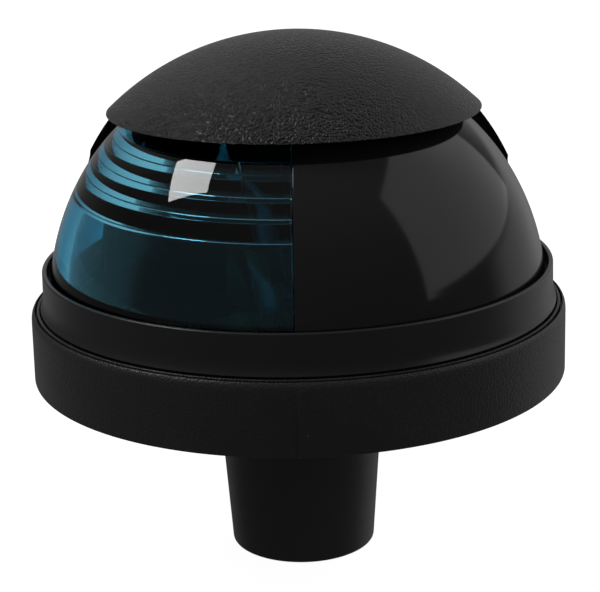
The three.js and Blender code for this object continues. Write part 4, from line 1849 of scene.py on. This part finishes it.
@dataclass
class Lamp(Assembly):
    """The bayonet lamp.

    Attributes:
        body: The CAD body that its pieces ride on.
        ball: Radius of the bulb.
        ball_z: Height of its centre.
        neck: Radius of the neck.
        neck_top: Height at which the bulb runs into the neck.
        glass_bottom: Lower end of the glass.
        wall: Thickness of the glass.
        cap: Radius of the cap.
        cap_top: Upper end of the cap.
        cap_bottom: Its lower end.
        cap_hole: Radius of the hole in its end.
        sheet: Thickness of its brass.
        pin_z: Height of the two pins.
        filament_z: Height of the filament.
        filament_half: Half its length.
    """

    body: str = "lamp"
    ball: float = 13.25
    ball_z: float = 27.25
    neck: float = 6.7
    neck_top: float = 9.5
    glass_bottom: float = -2.0
    wall: float = 0.8
    cap: float = 7.5
    cap_top: float = 6.0
    cap_bottom: float = -9.3
    cap_hole: float = 5.0
    sheet: float = 0.4
    pin_z: float = -3.0
    filament_z: float = 28.8
    filament_half: float = 3.6

    def envelope(self) -> bpy.types.Object:
        """The blown ball drawn down into its neck.

        Returns:
            The new object.
        """
        shoulder = -0.62

        def side(thin: float) -> list[Corner]:
            """One side of the glass, from the top of the ball to the end of the neck.

            Args:
                thin: How far inside the outer skin it is.

            Returns:
                Its corners.
            """
            r = self.ball - thin
            ball = [
                (r * math.cos(a), self.ball_z + r * math.sin(a)) for a in spread(math.pi / 2, shoulder, 30)
            ]
            ball[0] = (0.0, ball[0][1])
            return [*ball, (self.neck - thin, self.neck_top, 6.0), (self.neck - thin, self.glass_bottom)]

        outer, inner = side(0.0), side(self.wall)
        outline = rounded([*outer, *reversed(inner)], 6)
        return Workshop.turned("lamp_envelope", outline, 96)

    def filament(self) -> bpy.types.Object:
        """The coiled filament between its supports.

        Returns:
            The new object.
        """
        half, coil, turns = self.filament_half - 0.55, 0.24, 22
        path = []
        for t in spread(0, 1, turns * 12):
            angle = math.tau * turns * t
            y, z = coil * math.cos(angle), self.filament_z + coil * math.sin(angle)
            path.append(Vector((-half + 2 * half * t, y, z)))
        return Workshop.wire("filament_coil", path, 0.055, 6)

    def build(self) -> None:
        """Builds the glass, cap, pins, insulator, contact, stem, supports and filament."""
        self.fit(self.envelope(), Finishes.GLASS, "lamp_glass", "lamp_glass")
        inner, cap_floor = self.cap - self.sheet, self.cap_bottom + self.sheet
        cap = Workshop.turned("brass_cap", rounded([
            (self.cap_hole, self.cap_bottom, 0.1),
            (self.cap, self.cap_bottom, 0.6),
            (self.cap, 4.9, 0.1),
            (self.cap - 0.12, 5.1, 0.1),
            (self.cap, 5.4, 0.1),
            (self.cap, self.cap_top, 0.18),
            (inner, self.cap_top, 0.15),
            (inner, cap_floor, 0.3),
            (self.cap_hole, cap_floor, 0.1),
        ]), 96)
        self.fit(cap, Finishes.CAP, "cap_brass", "lamp_cap")
        insulator = Workshop.turned("glass_bead", rounded([
            (1.3, -9.8, 0.1),
            (4.1, -9.8, 0.3),
            (4.95, self.cap_bottom, 0.2),
            (4.95, -8.4, 0.1),
            (1.3, -8.4, 0.1),
        ]), 64)
        self.fit(insulator, Finishes.VITRITE, "lamp_vitrite", "lamp_insulator")
        contact = Workshop.turned("solder_button", rounded([
            (0.0, -10.5), (0.9, -10.45, 0.3), (1.25, -9.9, 0.3), (1.25, -8.9, 0.1), (0.0, -8.9),
        ]), 40)
        self.fit(contact, Finishes.SOLDER, "solder", "lamp_contact")
        foot = self.neck - self.wall - 0.1
        stem = Workshop.turned("glass_pillar", rounded([
            (0.0, -1.5), (foot, -1.5, 0.2), (foot, -0.5, 0.3), (2.9, 4.0, 3.0), (2.5, 11.0, 0.8), (0.0, 11.6),
        ], 6), 64)
        self.fit(stem, Finishes.GLASS, "lamp_glass", "glass_stem")
        for place, side in (("starboard", -1), ("port", 1)):
            pin = Workshop.turned(f"{place}_bayonet_pin", rounded([
                (0.0, 7.53), (1.0, 7.53), (1.0, 8.9, 0.2), (0.0, 8.9),
            ]), 36)
            outwards = Matrix.Rotation(side * math.pi / 2, 4, "Y")
            pin.data.transform(Matrix.Translation((0, 0, self.pin_z * MM)) @ outwards)
            self.fit(pin, Finishes.CAP, "cap_brass", f"{place}_lamp_pin")
            top = Vector((side * (self.filament_half - 0.25), 0, self.filament_z + 0.1))
            root = Vector((side * 1.8, 0, 11.95))
            bend = root.lerp(top, 0.55) + Vector((side * 0.12, 0, 0))
            path = [root, root.lerp(bend, 0.5), bend, bend.lerp(top, 0.5), top]
            support = Workshop.wire(f"{place}_support_wire", path, 0.26, 12)
            self.fit(support, Finishes.TUNGSTEN, "tungsten", f"{place}_filament_support")
        self.fit(self.filament(), Finishes.TUNGSTEN, "tungsten", "filament")


# ---------------------------------------------------------------------------------------------------------
# Studio
# ---------------------------------------------------------------------------------------------------------


@dataclass(frozen=True)
class Softbox:
    """A rectangular lamp aimed at the light.

    Attributes:
        name: Its name.
        azimuth: Its azimuth from dead ahead.
        elevation: Its elevation above the deck plane.
        distance: How far away it is, in metres.
        size: Width and height in metres.
        radiance: Brightness of its face.
        roll: Turn about its own axis in degrees.
        upright: Whether its face stands vertically.
        aim_z: Height that it is aimed at, in millimetres.
    """

    name: str
    azimuth: float
    elevation: float
    distance: float
    size: Point
    radiance: float
    roll: float = 0.0
    upright: bool = False
    aim_z: float = 25.0

    def build(self) -> None:
        """Hangs the lamp."""
        data = bpy.data.lights.new(self.name, "AREA")
        data.shape = "RECTANGLE"
        data.size, data.size_y = self.size
        data.energy = math.pi * self.size[0] * self.size[1] * self.radiance
        lamp = bpy.data.objects.new(self.name, data)
        bpy.context.scene.collection.objects.link(lamp)
        x, y = at_azimuth(math.cos(math.radians(self.elevation)), self.azimuth)
        away = Vector((x, y, math.sin(math.radians(self.elevation))))
        target = Vector((0, 0, self.aim_z * MM))
        facing = Vector((-x, -y, 0)) if self.upright else -away
        roll = Euler((0, 0, math.radians(self.roll))).to_matrix()
        turn = facing.to_track_quat("-Z", "Y").to_matrix() @ roll
        lamp.matrix_world = Matrix.Translation(target + away * self.distance) @ turn.to_4x4()


@dataclass(frozen=True)
class Studio:
    """The floor, the lights, the sky and the camera.

    Attributes:
        floor_z: Height of the end of the spigot.
        floor_gap: Gap between that and the floor.
        floor_side: Length of the floor's side.
        lens: Focal length.
        sensor: Width of the sensor.
        camera: Where the camera stands.
        pitch: How far it looks down, in degrees.
        yaw: How far it looks aside, in degrees.
        roll: How far it is rolled, in degrees.
        softboxes: The lamps.
    """

    floor_z: float = -28.8
    floor_gap: float = 0.05
    floor_side: float = 4000.0
    lens: float = 104.04
    sensor: float = 36.0
    camera: tuple[float, float, float] = (0.0, -250.57, 85.30)
    pitch: float = 16.706
    yaw: float = -0.06
    roll: float = 1.329
    softboxes: tuple[Softbox, ...] = (
        Softbox("key_softbox", -84.5, 50.5, 0.8, (0.246, 0.246), 10.0, 53.0),
        Softbox("side_softbox", 98.0, 39.0, 0.772, (0.99, 0.806), 0.5, upright=True),
    )

    def floor(self) -> None:
        """Lays the floor under the end of the spigot."""
        bm = bmesh.new()
        bmesh.ops.create_grid(bm, x_segments=8, y_segments=8, size=self.floor_side / 2)
        bmesh.ops.translate(bm, vec=(0, 0, self.floor_z - self.floor_gap), verts=bm.verts)
        floor = Workshop.from_bmesh("floor", bm)
        Finishes.FLOOR.value.dress(floor)
        floor.visible_glossy = False
        floor.visible_diffuse = False

    def sky(self) -> None:
        """White behind the light, with a dim surround that is brighter to the sides and rear.

        Straight views and rays through the lens see white. Reflections see the surround, so that black
        plastic stays black. Its rear, port and starboard shares are pale panels round the back of the light.
        """
        world = bpy.data.worlds.new("studio_surround")
        bpy.context.scene.world = world
        graph = Graph(world)
        direction = graph.node("ShaderNodeTexCoord").outputs["Generated"]
        parts = graph.node("ShaderNodeSeparateXYZ", None, {0: direction})
        across, along, up = (Value(graph, output) for output in parts.outputs)
        aside = (across * across).above(0.08, 0.4) * (1 - up.above(0.4, 0.7))
        rear = (along + up * 0.5).above(0.5, 0.95) * (0.12 + up.above(-0.1, 0.45) * 0.2) * (1 - aside * 0.85)
        port = across.above(0.2, 0.6) * along.above(0.05, 0.4) * (1 - up.above(0.07, 0.18))
        port = port * (0.22 + up.above(-0.25, -0.08) * 0.1)
        starboard = (0 - across).above(0.2, 0.6) * along.above(0.3, 0.8) * (0 - up).above(0.12, 0.3)
        surround = 0.085 + up.above(0.3, 1.0) * 0.06 + rear + port + starboard * 0.12
        path = graph.node("ShaderNodeLightPath")
        through = Value(graph, path.outputs["Is Transmission Ray"]) * (0.35 + along.above(-0.2, 0.1) * 0.65)
        clear = 1 - Value(graph, path.outputs["Diffuse Depth"]).above(0.2, 0.8)
        seen = (Value(graph, path.outputs["Is Camera Ray"]) + through * clear).above(0.0, 1.0)
        strength = surround + seen * (1 - surround)
        white: dict[str | int, Input] = {"Color": (1.0, 1.0, 1.0), "Strength": strength}
        background = graph.node("ShaderNodeBackground", None, white)
        graph.node("ShaderNodeOutputWorld", None, {"Surface": background.outputs[0]})

    def stand_camera(self) -> None:
        """Stands the camera in front of the light and a little above it."""
        data = bpy.data.cameras.new("camera")
        data.sensor_fit = "HORIZONTAL"
        data.sensor_width = self.sensor
        data.lens = self.lens
        data.clip_start = 0.01
        camera = bpy.data.objects.new("camera", data)
        bpy.context.scene.collection.objects.link(camera)
        turn = (
            Euler((0, 0, math.radians(self.yaw))).to_matrix()
            @ Euler((math.radians(90 - self.pitch), 0, 0)).to_matrix()
            @ Euler((0, 0, math.radians(-self.roll))).to_matrix()
        )
        camera.matrix_world = Matrix.Translation(Vector(self.camera) * MM) @ turn.to_4x4()
        bpy.context.scene.camera = camera

    def build(self) -> None:
        """Builds the whole studio."""
        self.stand_camera()
        self.floor()
        self.sky()
        for softbox in self.softboxes:
            softbox.build()
        bpy.context.scene.view_settings.view_transform = "Standard"


def plain(box: Iterable[Iterable[float]]) -> list[list[float]]:
    """A box's corners as plain lists of numbers."""
    return [[float(value) for value in corner] for corner in box]


def main() -> None:
    """Builds the light and its studio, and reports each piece."""
    logging.basicConfig(level=logging.INFO, format="%(name)s: %(message)s")
    Studio().build()
    for assembly in (Base(), Cover(), Collar(), Holder(), Plunger(), Lamp()):
        assembly.build()
        for piece in assembly.pieces:
            log.info("%s on %s: %d faces", piece.name, assembly.body, len(piece.data.polygons))


if __name__ == "__main__":
    main()
